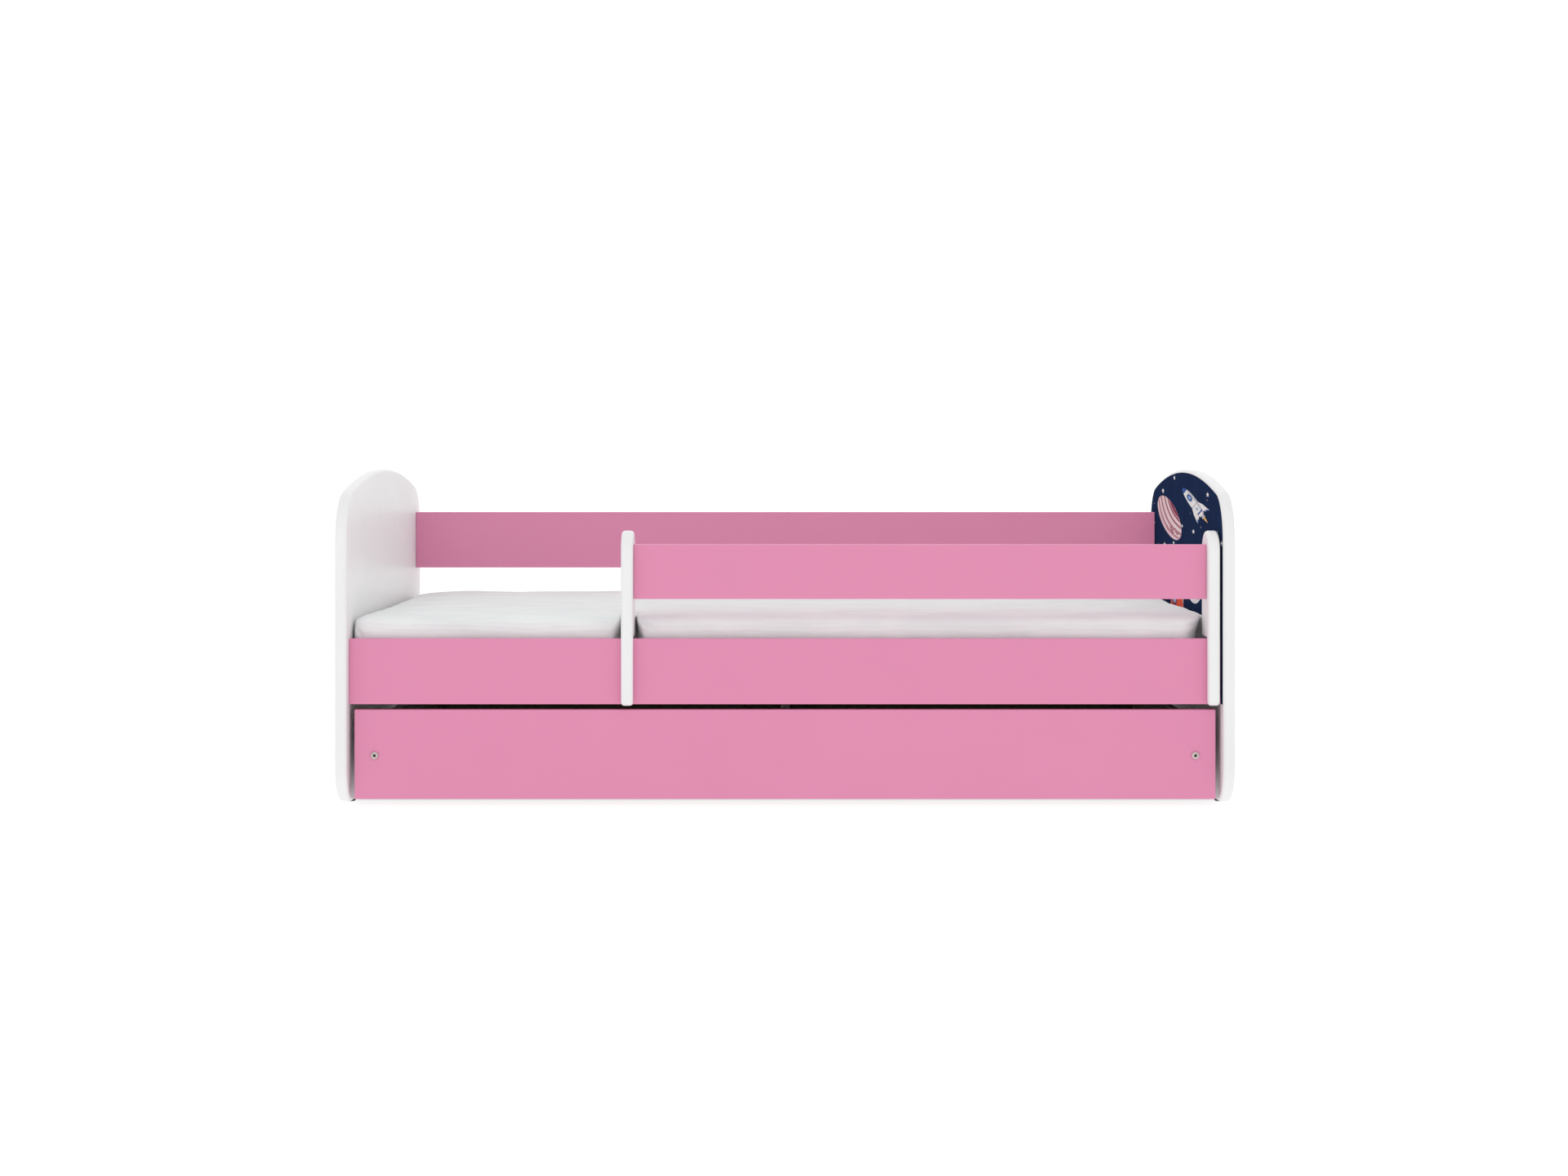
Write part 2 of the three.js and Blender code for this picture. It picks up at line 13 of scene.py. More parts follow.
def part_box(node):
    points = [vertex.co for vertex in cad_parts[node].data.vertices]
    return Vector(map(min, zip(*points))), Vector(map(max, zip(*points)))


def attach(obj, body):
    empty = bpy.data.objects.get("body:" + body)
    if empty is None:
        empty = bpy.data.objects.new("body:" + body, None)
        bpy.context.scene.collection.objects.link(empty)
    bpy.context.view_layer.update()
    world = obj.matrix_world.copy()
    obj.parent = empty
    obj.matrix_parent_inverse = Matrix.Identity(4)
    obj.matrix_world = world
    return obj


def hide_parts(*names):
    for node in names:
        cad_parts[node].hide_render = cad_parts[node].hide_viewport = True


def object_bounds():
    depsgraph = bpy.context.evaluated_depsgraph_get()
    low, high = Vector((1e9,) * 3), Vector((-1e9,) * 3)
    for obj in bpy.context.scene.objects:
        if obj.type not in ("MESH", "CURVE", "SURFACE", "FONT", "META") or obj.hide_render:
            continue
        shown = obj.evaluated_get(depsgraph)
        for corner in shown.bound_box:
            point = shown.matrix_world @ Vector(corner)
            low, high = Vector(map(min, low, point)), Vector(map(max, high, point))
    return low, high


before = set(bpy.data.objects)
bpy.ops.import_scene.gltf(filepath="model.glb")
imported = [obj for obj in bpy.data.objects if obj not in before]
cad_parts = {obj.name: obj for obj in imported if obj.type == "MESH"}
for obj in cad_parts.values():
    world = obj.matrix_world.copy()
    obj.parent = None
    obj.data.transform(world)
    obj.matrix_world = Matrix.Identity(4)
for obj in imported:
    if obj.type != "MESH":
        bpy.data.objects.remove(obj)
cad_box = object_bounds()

MM = 0.001
SIDES = ("left", "right")
ROWS = ("front", "rear")
FRAME_BODY = "bed_frame"
DRAWER_BODY = "drawer"
MATTRESS_BODY = "mattress"

# Camera: a long lens, level and straight on, with the bed a little below the picture's middle
LENS_MM = 55.0
CAMERA_DISTANCE = 4.370
CAMERA_HEIGHT = 0.648
CAMERA_SIDE = 0.006
LENS_SHIFT = (-0.0027, -0.0861)

# Roundings
PANEL_ROUNDOVER = 6 * MM
FOOT_RADIUS = 70 * MM
SHOULDER_RADIUS = 90 * MM
CROWN_RADIUS = 1825 * MM
POST_HEEL_RADIUS = 8 * MM
BOARD_EDGE = 1.2 * MM
SLAT_EDGE = 3 * MM
FIT_GAP = 0.3 * MM


# ---------------- materials

# Sockets of a Mix node that is set to colour
MIX_FACTOR, MIX_FIRST, MIX_SECOND, MIX_RESULT = 0, 6, 7, 2


class Nodes:
    """A node tree, and how nodes are added to it."""

    def __init__(self, tree):
        self.tree = tree

    def feed(self, target, value):
        """Give an input socket a number, a vector, a colour or another node's output."""
        if isinstance(value, bpy.types.NodeSocket):
            self.tree.links.new(value, target)
        elif target.type == "RGBA":
            target.default_value = (*value, 1.0)
        else:
            target.default_value = value

    def node(self, kind, result, inputs, **settings):
        """Add a node, feed its inputs and give back one of its outputs."""
        made = self.tree.nodes.new(kind)
        for key, value in settings.items():
            setattr(made, key, value)
        for socket, value in inputs.items():
            self.feed(made.inputs[socket], value)
        return made.outputs[result]

    def maths(self, operation, *values):
        inputs = dict(enumerate(values))
        return self.node("ShaderNodeMath", "Value", inputs, operation=operation)

    def split(self, vector):
        """The X, Y and Z of a vector."""
        return self.node("ShaderNodeSeparateXYZ", "X", {"Vector": vector}).node.outputs


class Shader(Nodes):
    """One material and the few kinds of node that its surface needs."""

    def __init__(self, name, metallic=0.0, roughness=0.5):
        self.material = bpy.data.materials.new(name)
        self.material.use_nodes = True
        super().__init__(self.material.node_tree)
        self.surface("Metallic", metallic)
        self.surface("Roughness", roughness)
        self.place = self.node("ShaderNodeTexCoord", "Object", {})

    def surface(self, name, value):
        """Feed one of the surface's own sockets."""
        self.feed(self.tree.nodes["Principled BSDF"].inputs[name], value)

    def noise(self, scale, detail=3.0, roughness=0.5, stretch=None):
        """Cloudy noise. Its coordinates may be stretched by one number for each axis."""
        vector = self.place
        if stretch:
            vector = self.node("ShaderNodeMapping", "Vector", {"Vector": vector, "Scale": stretch})
        inputs = {"Vector": vector, "Scale": scale, "Detail": detail, "Roughness": roughness}
        return self.node("ShaderNodeTexNoise", "Fac", inputs)

    def wave(self, scale, direction, distortion):
        inputs = {"Vector": self.place, "Scale": scale, "Distortion": distortion}
        return self.node("ShaderNodeTexWave", "Fac", inputs, bands_direction=direction)

    def ramp(self, factor, stops):
        """Colours along a factor: stops are (place, colour)."""
        result = self.node("ShaderNodeValToRGB", "Color", {"Fac": factor})
        elements = result.node.color_ramp.elements
        while len(elements) < len(stops):
            elements.new(0.5)
        for element, (position, colour) in zip(elements, stops):
            element.position = position
            element.color = (*colour, 1.0)
        return result

    def blend(self, factor, first, second):
        """Mix two colours. Either may be another node's output."""
        inputs = {MIX_FACTOR: factor, MIX_FIRST: first, MIX_SECOND: second}
        return self.node("ShaderNodeMix", MIX_RESULT, inputs, data_type="RGBA")

    def spread(self, factor, low, high, start=0.3, stop=0.7):
        """Map a factor's useful middle to a range of values."""
        limits = {"From Min": start, "From Max": stop, "To Min": low, "To Max": high}
        return self.node("ShaderNodeMapRange", "Result", {"Value": factor, **limits})

    def colour(self, value):
        self.surface("Base Color", value)

    def clouded(self, colour, clouds, dark, light):
        """One colour that varies between two strengths."""
        self.colour(self.ramp(clouds, [(0.3, shade(colour, dark)), (0.7, shade(colour, light))]))

    def roughness(self, factor, low, high):
        self.surface("Roughness", self.spread(factor, low, high))

    def bump(self, *layers):
        """Stack bumps. Each layer is (height, distance in metres)."""
        below = {}
        for height, distance in layers:
            inputs = {"Height": height, "Distance": distance, **below}
            below = {"Normal": self.node("ShaderNodeBump", "Normal", inputs)}
        self.surface("Normal", below["Normal"])


def shade(colour, factor):
    return tuple(min(1.0, channel * factor) for channel in colour)


def coated_board(name, colour, rough=(0.36, 0.46)):
    """Painted or foil-covered board: faint cloudiness and an orange-peel skin."""
    shader = Shader(name)
    shader.surface("Specular IOR Level", 0.1)
    clouds = shader.noise(5.0, detail=4.0)
    specks = shader.noise(420.0, detail=2.0)
    base = shader.blend(shader.spread(clouds, 0.0, 1.0), shade(colour, 0.985), shade(colour, 1.012))
    shader.colour(shader.blend(shader.spread(specks, 0.0, 0.06), base, shade(colour, 0.8)))
    shader.roughness(shader.noise(38.0, detail=5.0), *rough)
    shader.bump(
        (shader.noise(520.0, detail=1.0), 0.05 * MM),
        (shader.noise(9.0, detail=2.0), 0.25 * MM),
    )
    return shader.material


def pine(name, grain):
    """Planed pine with growth rings drawn out along one axis."""
    shader = Shader(name)
    across = tuple(1.6 if axis == grain else 34.0 for axis in "XYZ")
    rings = shader.noise(1.0, detail=6.0, roughness=0.55, stretch=across)
    fibres = shader.noise(14.0, detail=3.0, stretch=across)
    wood = shader.ramp(
        rings,
        [
            (0.30, (0.78, 0.60, 0.36)),
            (0.47, (0.70, 0.49, 0.26)),
            (0.52, (0.52, 0.32, 0.14)),
            (0.58, (0.74, 0.54, 0.30)),
            (0.75, (0.80, 0.63, 0.40)),
        ],
    )
    shader.colour(shader.blend(shader.spread(fibres, 0.0, 0.3), wood, (0.60, 0.40, 0.20)))
    shader.roughness(fibres, 0.55, 0.75)
    shader.bump((fibres, 0.12 * MM), (rings, 0.2 * MM))
    return shader.material


def fibre_board(name):
    """The bare brown underside of thin hardboard."""
    shader = Shader(name)
    flecks = shader.noise(160.0, detail=6.0, roughness=0.7)
    shader.colour(shader.ramp(flecks, [(0.3, (0.19, 0.10, 0.05)), (0.7, (0.34, 0.20, 0.11))]))
    shader.roughness(flecks, 0.6, 0.85)
    shader.bump((flecks, 0.15 * MM))
    return shader.material


def metal(name, colour, rough, grain_scale):
    """Plated steel with faint cloudy plating and fine scratches."""
    shader = Shader(name, metallic=1.0)
    clouds = shader.noise(grain_scale, detail=4.0)
    scratches = shader.noise(900.0, detail=2.0, stretch=(1.0, 6.0, 1.0))
    shader.clouded(colour, clouds, 0.86, 1.08)
    shader.roughness(clouds, *rough)
    shader.bump((scratches, 0.02 * MM))
    return shader.material


def moulded_plastic(name, colour, rough):
    """Moulded plastic with a fine spark-eroded texture."""
    shader = Shader(name)
    grain = shader.noise(1400.0, detail=2.0)
    clouds = shader.noise(60.0, detail=3.0)
    shader.clouded(colour, clouds, 0.9, 1.12)
    shader.roughness(clouds, *rough)
    shader.bump((grain, 0.03 * MM))
    return shader.material


def ink(name, colour, spread=0.06):
    """One printed colour: slightly uneven, as a watercolour print is, under a matt film."""
    shader = Shader(name)
    shader.surface("Specular IOR Level", 0.0)
    wash = shader.noise(26.0, detail=5.0, roughness=0.6)
    shader.clouded(colour, wash, 1 - spread, 1 + spread)
    shader.roughness(shader.noise(40.0), 0.34, 0.42)
    shader.bump((shader.noise(520.0, detail=1.0), 0.03 * MM))
    return shader.material


def mattress_fabric(name):
    """White jersey cover: fine knitted ribs, soft lint, a little sheen and painted shade in long
    streaks along its ripples.
    """
    shader = Shader(name)
    ribs = shader.wave(210.0, "X", distortion=0.6)
    courses = shader.wave(190.0, "Y", distortion=0.6)
    knit = shader.maths("MULTIPLY", ribs, courses)
    lint = shader.noise(240.0, detail=4.0, roughness=0.7)
    # Long streaks along the bed, darker and lighter: painted shade of the cover's ripples.
    painted_ripple_shade = shader.noise(1.0, detail=4.0, roughness=0.55, stretch=(8.0, 30.0, 20.0))
    white = shader.ramp(painted_ripple_shade, [(0.34, (0.785, 0.805, 0.807)), (0.66, (0.86, 0.878, 0.878))])
    shader.colour(shader.blend(shader.spread(lint, 0.0, 0.12), white, (0.68, 0.69, 0.70)))
    shader.roughness(lint, 0.86, 0.98)
    shader.surface("Sheen Weight", 0.25)
    shader.surface("Sheen Roughness", 0.5)
    shader.surface("Specular IOR Level", 0.25)
    shader.bump((knit, 0.25 * MM), (lint, 0.25 * MM), (shader.noise(38.0, detail=3.0), 0.5 * MM))
    return shader.material


PINK = (0.735, 0.272, 0.437)
WHITE = (0.835, 0.836, 0.838)
pink_face = coated_board("pink_laminate", PINK)
# The pink edges are a little lighter than the faces: partly the real edge band, partly a painted
# highlight along the edges.
pink_edge = coated_board("pink_edge_band_and_highlight", shade(PINK, 1.04), rough=(0.30, 0.38))
white_lacquer = coated_board("white_lacquer", WHITE, rough=(0.32, 0.42))
# The drawer box is dark grey and the drawer floor brown: partly their own colours, partly painted
# shade, so the gaps beside and above the drawer front look dark.
drawer_face = coated_board("drawer_grey_board_and_painted_shade", (0.22, 0.22, 0.225), rough=(0.40, 0.52))
drawer_edge = coated_board("drawer_edge_band_and_painted_shade", (0.25, 0.25, 0.255), rough=(0.36, 0.46))
hardboard_top = coated_board("hardboard_smooth_side_and_painted_shade", (0.33, 0.235, 0.15), rough=(0.45, 0.6))
hardboard_back = fibre_board("hardboard_fibre_side")
pine_along_y = pine("pine_slat", "Y")
pine_along_x = pine("pine_ledger", "X")
nickel = metal("nickel_plate", (0.56, 0.47, 0.46), (0.22, 0.34), 160.0)
zinc = metal("zinc_plate", (0.60, 0.60, 0.58), (0.30, 0.48), 240.0)
socket_dark = metal("socket_shadow", (0.08, 0.07, 0.07), (0.5, 0.6), 200.0)
# The glides are black: partly the real plastic, partly painted shade under the panels' rounded feet.
black_plastic = moulded_plastic("black_plastic", (0.014, 0.014, 0.015), (0.42, 0.55))
wheel_core = moulded_plastic("wheel_core_plastic", (0.42, 0.43, 0.44), (0.40, 0.52))
wheel_tread = moulded_plastic("wheel_tread_rubber", (0.075, 0.078, 0.083), (0.55, 0.7))
cover_fabric = mattress_fabric("mattress_cover")


# ---------------- mesh helpers

def add_object(name, data, place=(0, 0, 0)):
    made = bpy.data.objects.new(name, data)
    made.location = place
    bpy.context.scene.collection.objects.link(made)
    return made


def link_mesh(name, bm, materials=()):
    """Put a bmesh into the scene as an object."""
    mesh = bpy.data.meshes.new(name)
    bm.to_mesh(mesh)
    bm.free()
    for material in materials:
        mesh.materials.append(material)
    return add_object(name, mesh)


def shade_smooth(piece, sharp=40.0):
    """Smooth shading, broken where faces meet at more than an angle in degrees."""
    mesh = piece.data
    mesh.polygons.foreach_set("use_smooth", [True] * len(mesh.polygons))
    mesh.set_sharp_from_angle(angle=math.radians(sharp))
    piece.modifiers.new("even_shading", "WEIGHTED_NORMAL").keep_sharp = True


def bake_modifiers(piece):
    """Replace a piece's mesh by the result of its modifiers, and remove them."""
    bpy.context.view_layer.update()
    graph = bpy.context.evaluated_depsgraph_get()
    piece.data = bpy.data.meshes.new_from_object(piece.evaluated_get(graph))
    piece.modifiers.clear()


def make_piece(node, bm, materials, body, sharp=40.0, name=None):
    """Turn a bmesh into the finished piece that stands for a CAD node and rides on a body."""
    bmesh.ops.recalc_face_normals(bm, faces=bm.faces)
    piece = link_mesh(name or f"{node}_finished", bm, materials)
    shade_smooth(piece, sharp)
    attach(piece, body)
    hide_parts(node)
    return piece


def add_loft(bm, rings, material=0, caps=(True, True)):
    """Join rings of equally many points with quads, and close the two ends."""
    rows = [[bm.verts.new(point) for point in ring] for ring in rings]
    count = len(rows[0])
    for lower, upper in zip(rows, rows[1:]):
        for index in range(count):
            following = (index + 1) % count
            quad = (lower[index], lower[following], upper[following], upper[index])
            bm.faces.new(quad).material_index = material
    for wanted, row in zip(caps, (rows[0], rows[-1])):
        if wanted:
            bm.faces.new(row).material_index = material
    return rows


def in_metres(profile):
    """Turn pairs of millimetres into metres."""
    return [(first * MM, second * MM) for first, second in profile]


def full_turn(steps):
    """Evenly spaced angles round a circle."""
    return [2 * math.pi * index / steps for index in range(steps)]


def ellipse(centre, half_width, half_height, steps, lean=0.0):
    """Flat points of an ellipse, which may lean by a shift of its top."""
    points = []
    for angle in full_turn(steps):
        across = centre[0] + half_width * math.cos(angle) + lean * math.sin(angle)
        points.append((across, centre[1] + half_height * math.sin(angle)))
    return points


def arc(centre, radius, start, stop, steps):
    """Points of an arc in a side view, as (y, z), with angles in degrees."""
    points = []
    for index in range(steps + 1):
        angle = math.radians(start + (stop - start) * index / steps)
        points.append((centre[0] + radius * math.cos(angle), centre[1] + radius * math.sin(angle)))
    return points


def add_rounded_plate(bm, outline, x_low, x_high, radius, steps=8, caps=(True, True)):
    """A plate across X whose rims are rounded. outline(inset) gives its side view."""
    turns = [math.radians(90 * index / steps) for index in range(steps + 1)]
    stations = [(x_low + radius * (1 - math.cos(t)), radius * (1 - math.sin(t))) for t in turns]
    stations += [(x_high - (x - x_low), inset) for x, inset in reversed(stations)]
    rings = [[(x, y, z) for y, z in outline(inset)] for x, inset in stations]
    return add_loft(bm, rings, caps=caps)


def add_board(bm, low, high, radius=BOARD_EDGE, steps=3):
    """A board with rounded edges: broad faces get material 0 and the edges material 1."""
    size = high - low
    centre = (high + low) / 2
    corners = bmesh.ops.create_cube(bm, size=1.0)["verts"]
    for corner in corners:
        corner.co = centre + Vector([part * span for part, span in zip(corner.co, size)])
    edges = list({edge for corner in corners for edge in corner.link_edges})
    bmesh.ops.bevel(bm, geom=edges, offset=radius, segments=steps, profile=0.5, affect="EDGES")
    thin = min(range(3), key=lambda axis: size[axis])
    for face in bm.faces:
        face.normal_update()
        face.material_index = 0 if abs(face.normal[thin]) > 0.999 else 1


def middle(node):
    low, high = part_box(node)
    return (low + high) / 2


def board_piece(node, materials, body, radius=BOARD_EDGE):
    """A fine board in the place of one CAD board."""
    bm = bmesh.new()
    add_board(bm, *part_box(node), radius=radius)
    make_piece(node, bm, materials, body)


def axis_matrix(origin, direction):
    """Maps +Z to a direction, with its origin at a point."""
    turn = Vector(direction).to_track_quat("Z", "Y").to_matrix().to_4x4()
    return Matrix.Translation(origin) @ turn


def add_lathe(bm, profile, origin, direction, steps=48, materials=None, closed=False):
    """Turn (height, radius) points about an axis. A radius may be a function of the angle."""
    place = axis_matrix(origin, direction)
    rings = []
    for height, radius in profile:
        ring = []
        for angle in full_turn(steps):
            reach = radius(angle) if callable(radius) else radius
            ring.append(place @ Vector((reach * math.cos(angle), reach * math.sin(angle), height)))
        rings.append(ring)
    if closed:
        rings.append(rings[0])
    first = len(bm.faces)
    add_loft(bm, rings, caps=(not closed, not closed))
    if closed:
        bmesh.ops.remove_doubles(bm, verts=bm.verts, dist=1e-7)
    if materials:
        bm.faces.ensure_lookup_table()
        for band, material in enumerate(materials):
            for index in range(steps):
                bm.faces[first + band * steps + index].material_index = material


def hexagon(across_flats):
    """Radius of a hexagon as a function of the angle."""
    sixth = math.pi / 3

    def radius(angle):
        offset = (angle % sixth) - sixth / 2
        return across_flats / 2 / math.cos(offset)

    return radius


# ---------------- end panels

def panel_outline(inset):
    """Side view of an end panel: round feet, round shoulders and a shallow crown."""
    low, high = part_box("left_end_panel")
    half = (high.y - low.y) / 2
    crown_z = high.z - CROWN_RADIUS
    shoulder_y = half - SHOULDER_RADIUS
    reach = CROWN_RADIUS - SHOULDER_RADIUS
    shoulder_z = crown_z + math.sqrt(reach ** 2 - shoulder_y ** 2)
    tangent = math.degrees(math.acos(shoulder_y / reach))
    foot_y = half - FOOT_RADIUS
    foot_z = low.z + FOOT_RADIUS
    foot = FOOT_RADIUS - inset
    shoulder = SHOULDER_RADIUS - inset
    points = arc((foot_y, foot_z), foot, -90, 0, 20)
    points += arc((shoulder_y, shoulder_z), shoulder, 0, tangent, 24)
    points += arc((0, crown_z), CROWN_RADIUS - inset, tangent, 180 - tangent, 48)[1:-1]
    points += arc((-shoulder_y, shoulder_z), shoulder, 180 - tangent, 180, 24)
    points += arc((-foot_y, foot_z), foot, 180, 270, 20)
    return points


BOLTED_BOARDS = ("front_board", "rear_board", "top_rail")
BOLT_LEVELS = ("lower", "upper")
RECESS_RADIUS = 7.3 * MM
RECESS_DEPTH = 2.7 * MM


def bolt_nodes(side):
    return [f"{board}_bolt_{side}_{level}" for board in BOLTED_BOARDS for level in BOLT_LEVELS]


def cap_with_recesses(bm, rim, x, inward, centres, steps=40):
    """Close a panel's outer face round the flat-bottomed recesses of its bolt heads."""
    edges = [bm.edges.get((rim[i - 1], rim[i])) for i in range(len(rim))]
    for centre in centres:
        mouth, floor = [], []
        for y, z in ellipse((centre.y, centre.z), RECESS_RADIUS, RECESS_RADIUS, steps):
            mouth.append(bm.verts.new((x, y, z)))
            floor.append(bm.verts.new((x + inward * RECESS_DEPTH, y, z)))
        for index in range(steps):
            quad = (mouth[index - 1], mouth[index], floor[index], floor[index - 1])
            bm.faces.new(quad)
            edges.append(bm.edges.get((mouth[index - 1], mouth[index])))
        bm.faces.new(floor)
    bmesh.ops.triangle_fill(bm, edges=edges, use_beauty=True)


def end_panel(side):
    node = f"{side}_end_panel"
    low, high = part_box(node)
    left = side == "left"
    bm = bmesh.new()
    caps = (not left, left)
    rows = add_rounded_plate(bm, panel_outline, low.x, high.x, PANEL_ROUNDOVER, caps=caps)
    rim, x, inward = (rows[0], low.x, 1) if left else (rows[-1], high.x, -1)
    cap_with_recesses(bm, rim, x, inward, [middle(bolt) for bolt in bolt_nodes(side)])
    make_piece(node, bm, [white_lacquer], FRAME_BODY)


for side in SIDES:
    end_panel(side)


# ---------------- guard posts and boards

def post_outline(inset):
    """Side view of a guard post: a slim leg below, and a round-topped blade above."""
    low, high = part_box("guard_post_left")
    board_low, board_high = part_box("front_side_board")
    leg_back = board_low.y - FIT_GAP
    leg_radius = (leg_back - low.y) / 2
    top_radius = (high.y - low.y) / 2
    heel_z = board_high.z + FIT_GAP
    heel = (high.y - POST_HEEL_RADIUS, heel_z + POST_HEEL_RADIUS)
    points = arc((low.y + leg_radius, low.z + leg_radius), leg_radius - inset, -180, 0, 20)
    points.append((leg_back - inset, heel_z + inset))
    points += arc(heel, POST_HEEL_RADIUS - inset, -90, 0, 12)
    points += arc((low.y + top_radius, high.z - top_radius), top_radius - inset, 0, 180, 36)
    return points


def guard_post(side):
    node = f"guard_post_{side}"
    low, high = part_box(node)
    bm = bmesh.new()
    add_rounded_plate(bm, post_outline, low.x, high.x, PANEL_ROUNDOVER)
    make_piece(node, bm, [white_lacquer], FRAME_BODY)


for side in SIDES:
    guard_post(side)

for node in ("front_side_board", "rear_side_board", "rear_top_rail", "guard_board"):
    board_piece(node, [pink_face, pink_edge], FRAME_BODY)
board_piece("drawer_front", [pink_face, pink_edge], DRAWER_BODY)


# ---------------- slatted base

SLATS = [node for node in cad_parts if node.startswith("slat_")]
for node in SLATS:
    board_piece(node, [pine_along_y, pine_along_y], FRAME_BODY, SLAT_EDGE)
for node in ("front_ledger", "rear_ledger"):
    board_piece(node, [pine_along_x, pine_along_x], FRAME_BODY, SLAT_EDGE)


# ---------------- drawer box

for node in ("drawer_left_side", "drawer_right_side", "drawer_back", "drawer_divider"):
    board_piece(node, [drawer_face, drawer_edge], DRAWER_BODY)


def drawer_floor():
    """Thin hardboard: smooth above, bare fibre below and along its sawn edges."""
    bm = bmesh.new()
    add_board(bm, *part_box("drawer_floor"), radius=0.3 * MM, steps=2)
    for face in bm.faces:
        face.material_index = 0 if face.normal.z > 0.9 else 1
    make_piece("drawer_floor", bm, [hardboard_top, hardboard_back], DRAWER_BODY)


drawer_floor()


# ---------------- fasteners

BOLT_PROFILE = [
    (40.4, 2.0), (39.4, 3.0), (2.4, 3.0), (2.4, 6.8), (2.2, 7.0), (0.9, 7.0), (0.5, 6.86),
    (0.2, 6.5), (0.05, 6.1), (0.0, 5.7), (0.0, 3.1),
]
SOCKET_PROFILE = [(0.35, 5.0), (2.2, 4.6)]


def furniture_bolt(node, direction, body):
    """Flat nickel bolt with a hexagon socket. Its head looks towards -direction."""
    low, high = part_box(node)
    reach = Vector([abs(part) for part in direction]).dot(high - low) / 2
    origin = middle(node) - Vector(direction) * reach
    profile = in_metres(BOLT_PROFILE)
    profile += [(depth * MM, hexagon(flats * MM)) for depth, flats in SOCKET_PROFILE]
    bm = bmesh.new()
    add_lathe(bm, profile, origin, direction, materials=[0] * len(BOLT_PROFILE) + [1])
    bm.faces.ensure_lookup_table()
    bm.faces[-1].material_index = 1
    make_piece(node, bm, [nickel, socket_dark], body, sharp=50)


for side, direction in (("left", (1, 0, 0)), ("right", (-1, 0, 0))):
    for node in bolt_nodes(side):
        furniture_bolt(node, direction, FRAME_BODY)
    furniture_bolt(f"drawer_bolt_{side}", (0, 1, 0), DRAWER_BODY)

SCREW_PROFILE = [
    (32.0, 0.15), (28.0, 2.0), (2.6, 2.0), (0.35, 4.3), (0.0, 4.3), (0.0, 2.1), (1.6, 1.2),
]


def guard_screw(side):
    """Countersunk screw driven from inside the side board."""
    node = f"guard_screw_{side}"
    origin = middle(node)
    origin.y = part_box(node)[1].y
    bm = bmesh.new()
    add_lathe(bm, in_metres(SCREW_PROFILE), origin, (0, -1, 0), steps=32)
    make_piece(node, bm, [zinc], FRAME_BODY, sharp=30)


for side in SIDES:
    guard_screw(side)


# ---------------- glides and castors

def glide(row, side):
    """Nail-on glide with a domed rim and a steel nail head in its middle; its black is partly the
    real plastic, partly painted shade under the foot.
    """
    node = f"glide_{row}_{side}"
    low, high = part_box(node)
    foot = middle(node)
    foot.z = low.z
    radius = (high.x - low.x) / 2
    height = high.z - low.z
    profile = [
        (height, radius * 0.8), (height, radius * 0.97), (height - 0.4 * MM, radius),
        (0.9 * MM, radius * 0.96), (0.3 * MM, radius * 0.9), (0.0, radius * 0.8),
        (0.0, radius * 0.34), (0.5 * MM, radius * 0.3), (0.6 * MM, radius * 0.1),
    ]
    bm = bmesh.new()
    add_lathe(bm, profile, foot, (0, 0, 1), materials=[0] * 6 + [1] * 2)
    make_piece(node, bm, [black_plastic, zinc], FRAME_BODY)


# Half of the wheel's section, from bore to tread: share of its half width, radius in mm
WHEEL_HALF = [
    (-1.00, 2.8), (-1.00, 5.6), (-0.93, 6.0), (-0.36, 6.4), (-0.36, 12.6), (-0.86, 13.0),
    (-0.94, 13.6), (-1.00, 15.2), (-0.94, 16.6), (-0.72, 17.6), (-0.40, 18.0),
]
WHEEL_PROFILE = WHEEL_HALF + [(-across, radius) for across, radius in reversed(WHEEL_HALF)]
TREAD_BANDS = range(7, 14)
WEB_HOLES = 5
WEB_HOLE_RADIUS = 2.2 * MM
WEB_HOLE_CIRCLE = 9.5 * MM
WEB_HOLE_TURN = math.radians(7)


def carve(piece, cutter):
    """Cut one mesh object out of another and drop the cutter."""
    modifier = piece.modifiers.new("carve", "BOOLEAN")
    modifier.operation = "DIFFERENCE"
    modifier.solver = "EXACT"
    modifier.object = cutter
    bake_modifiers(piece)
    bpy.data.objects.remove(cutter)


def castor_wheel(place):
    """Twin-material wheel: plastic hub and web with round holes, and a soft tread."""
    node = f"castor_wheel_{place}"
    low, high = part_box(node)
    centre = middle(node)
    half = (high.x - low.x) / 2
    profile = [(across * half, radius * MM) for across, radius in WHEEL_PROFILE]
    bands = [int(index in TREAD_BANDS) for index in range(len(profile))]
    bm = bmesh.new()
    add_lathe(bm, profile, centre, (1, 0, 0), steps=64, materials=bands, closed=True)
    piece = make_piece(node, bm, [wheel_core, wheel_tread], f"wheel_{place}")
    drill = bmesh.new()
    for angle in full_turn(WEB_HOLES):
        y = centre.y + WEB_HOLE_CIRCLE * math.cos(WEB_HOLE_TURN + angle)
        z = centre.z + WEB_HOLE_CIRCLE * math.sin(WEB_HOLE_TURN + angle)
        rod = [(0.0, WEB_HOLE_RADIUS), (half * 2, WEB_HOLE_RADIUS)]
        add_lathe(drill, rod, (centre.x - half, y, z), (1, 0, 0), steps=20)
    bmesh.ops.recalc_face_normals(drill, faces=drill.faces)
    carve(piece, link_mesh("drill", drill))
    shade_smooth(piece)


# One head of an axle, from its tip inwards: mm from the tip, radius in mm
AXLE_HEAD = [(0.0, 0.8), (0.1, 2.2), (0.45, 3.4), (0.9, 4.0), (1.2, 4.0), (1.2, 2.5)]


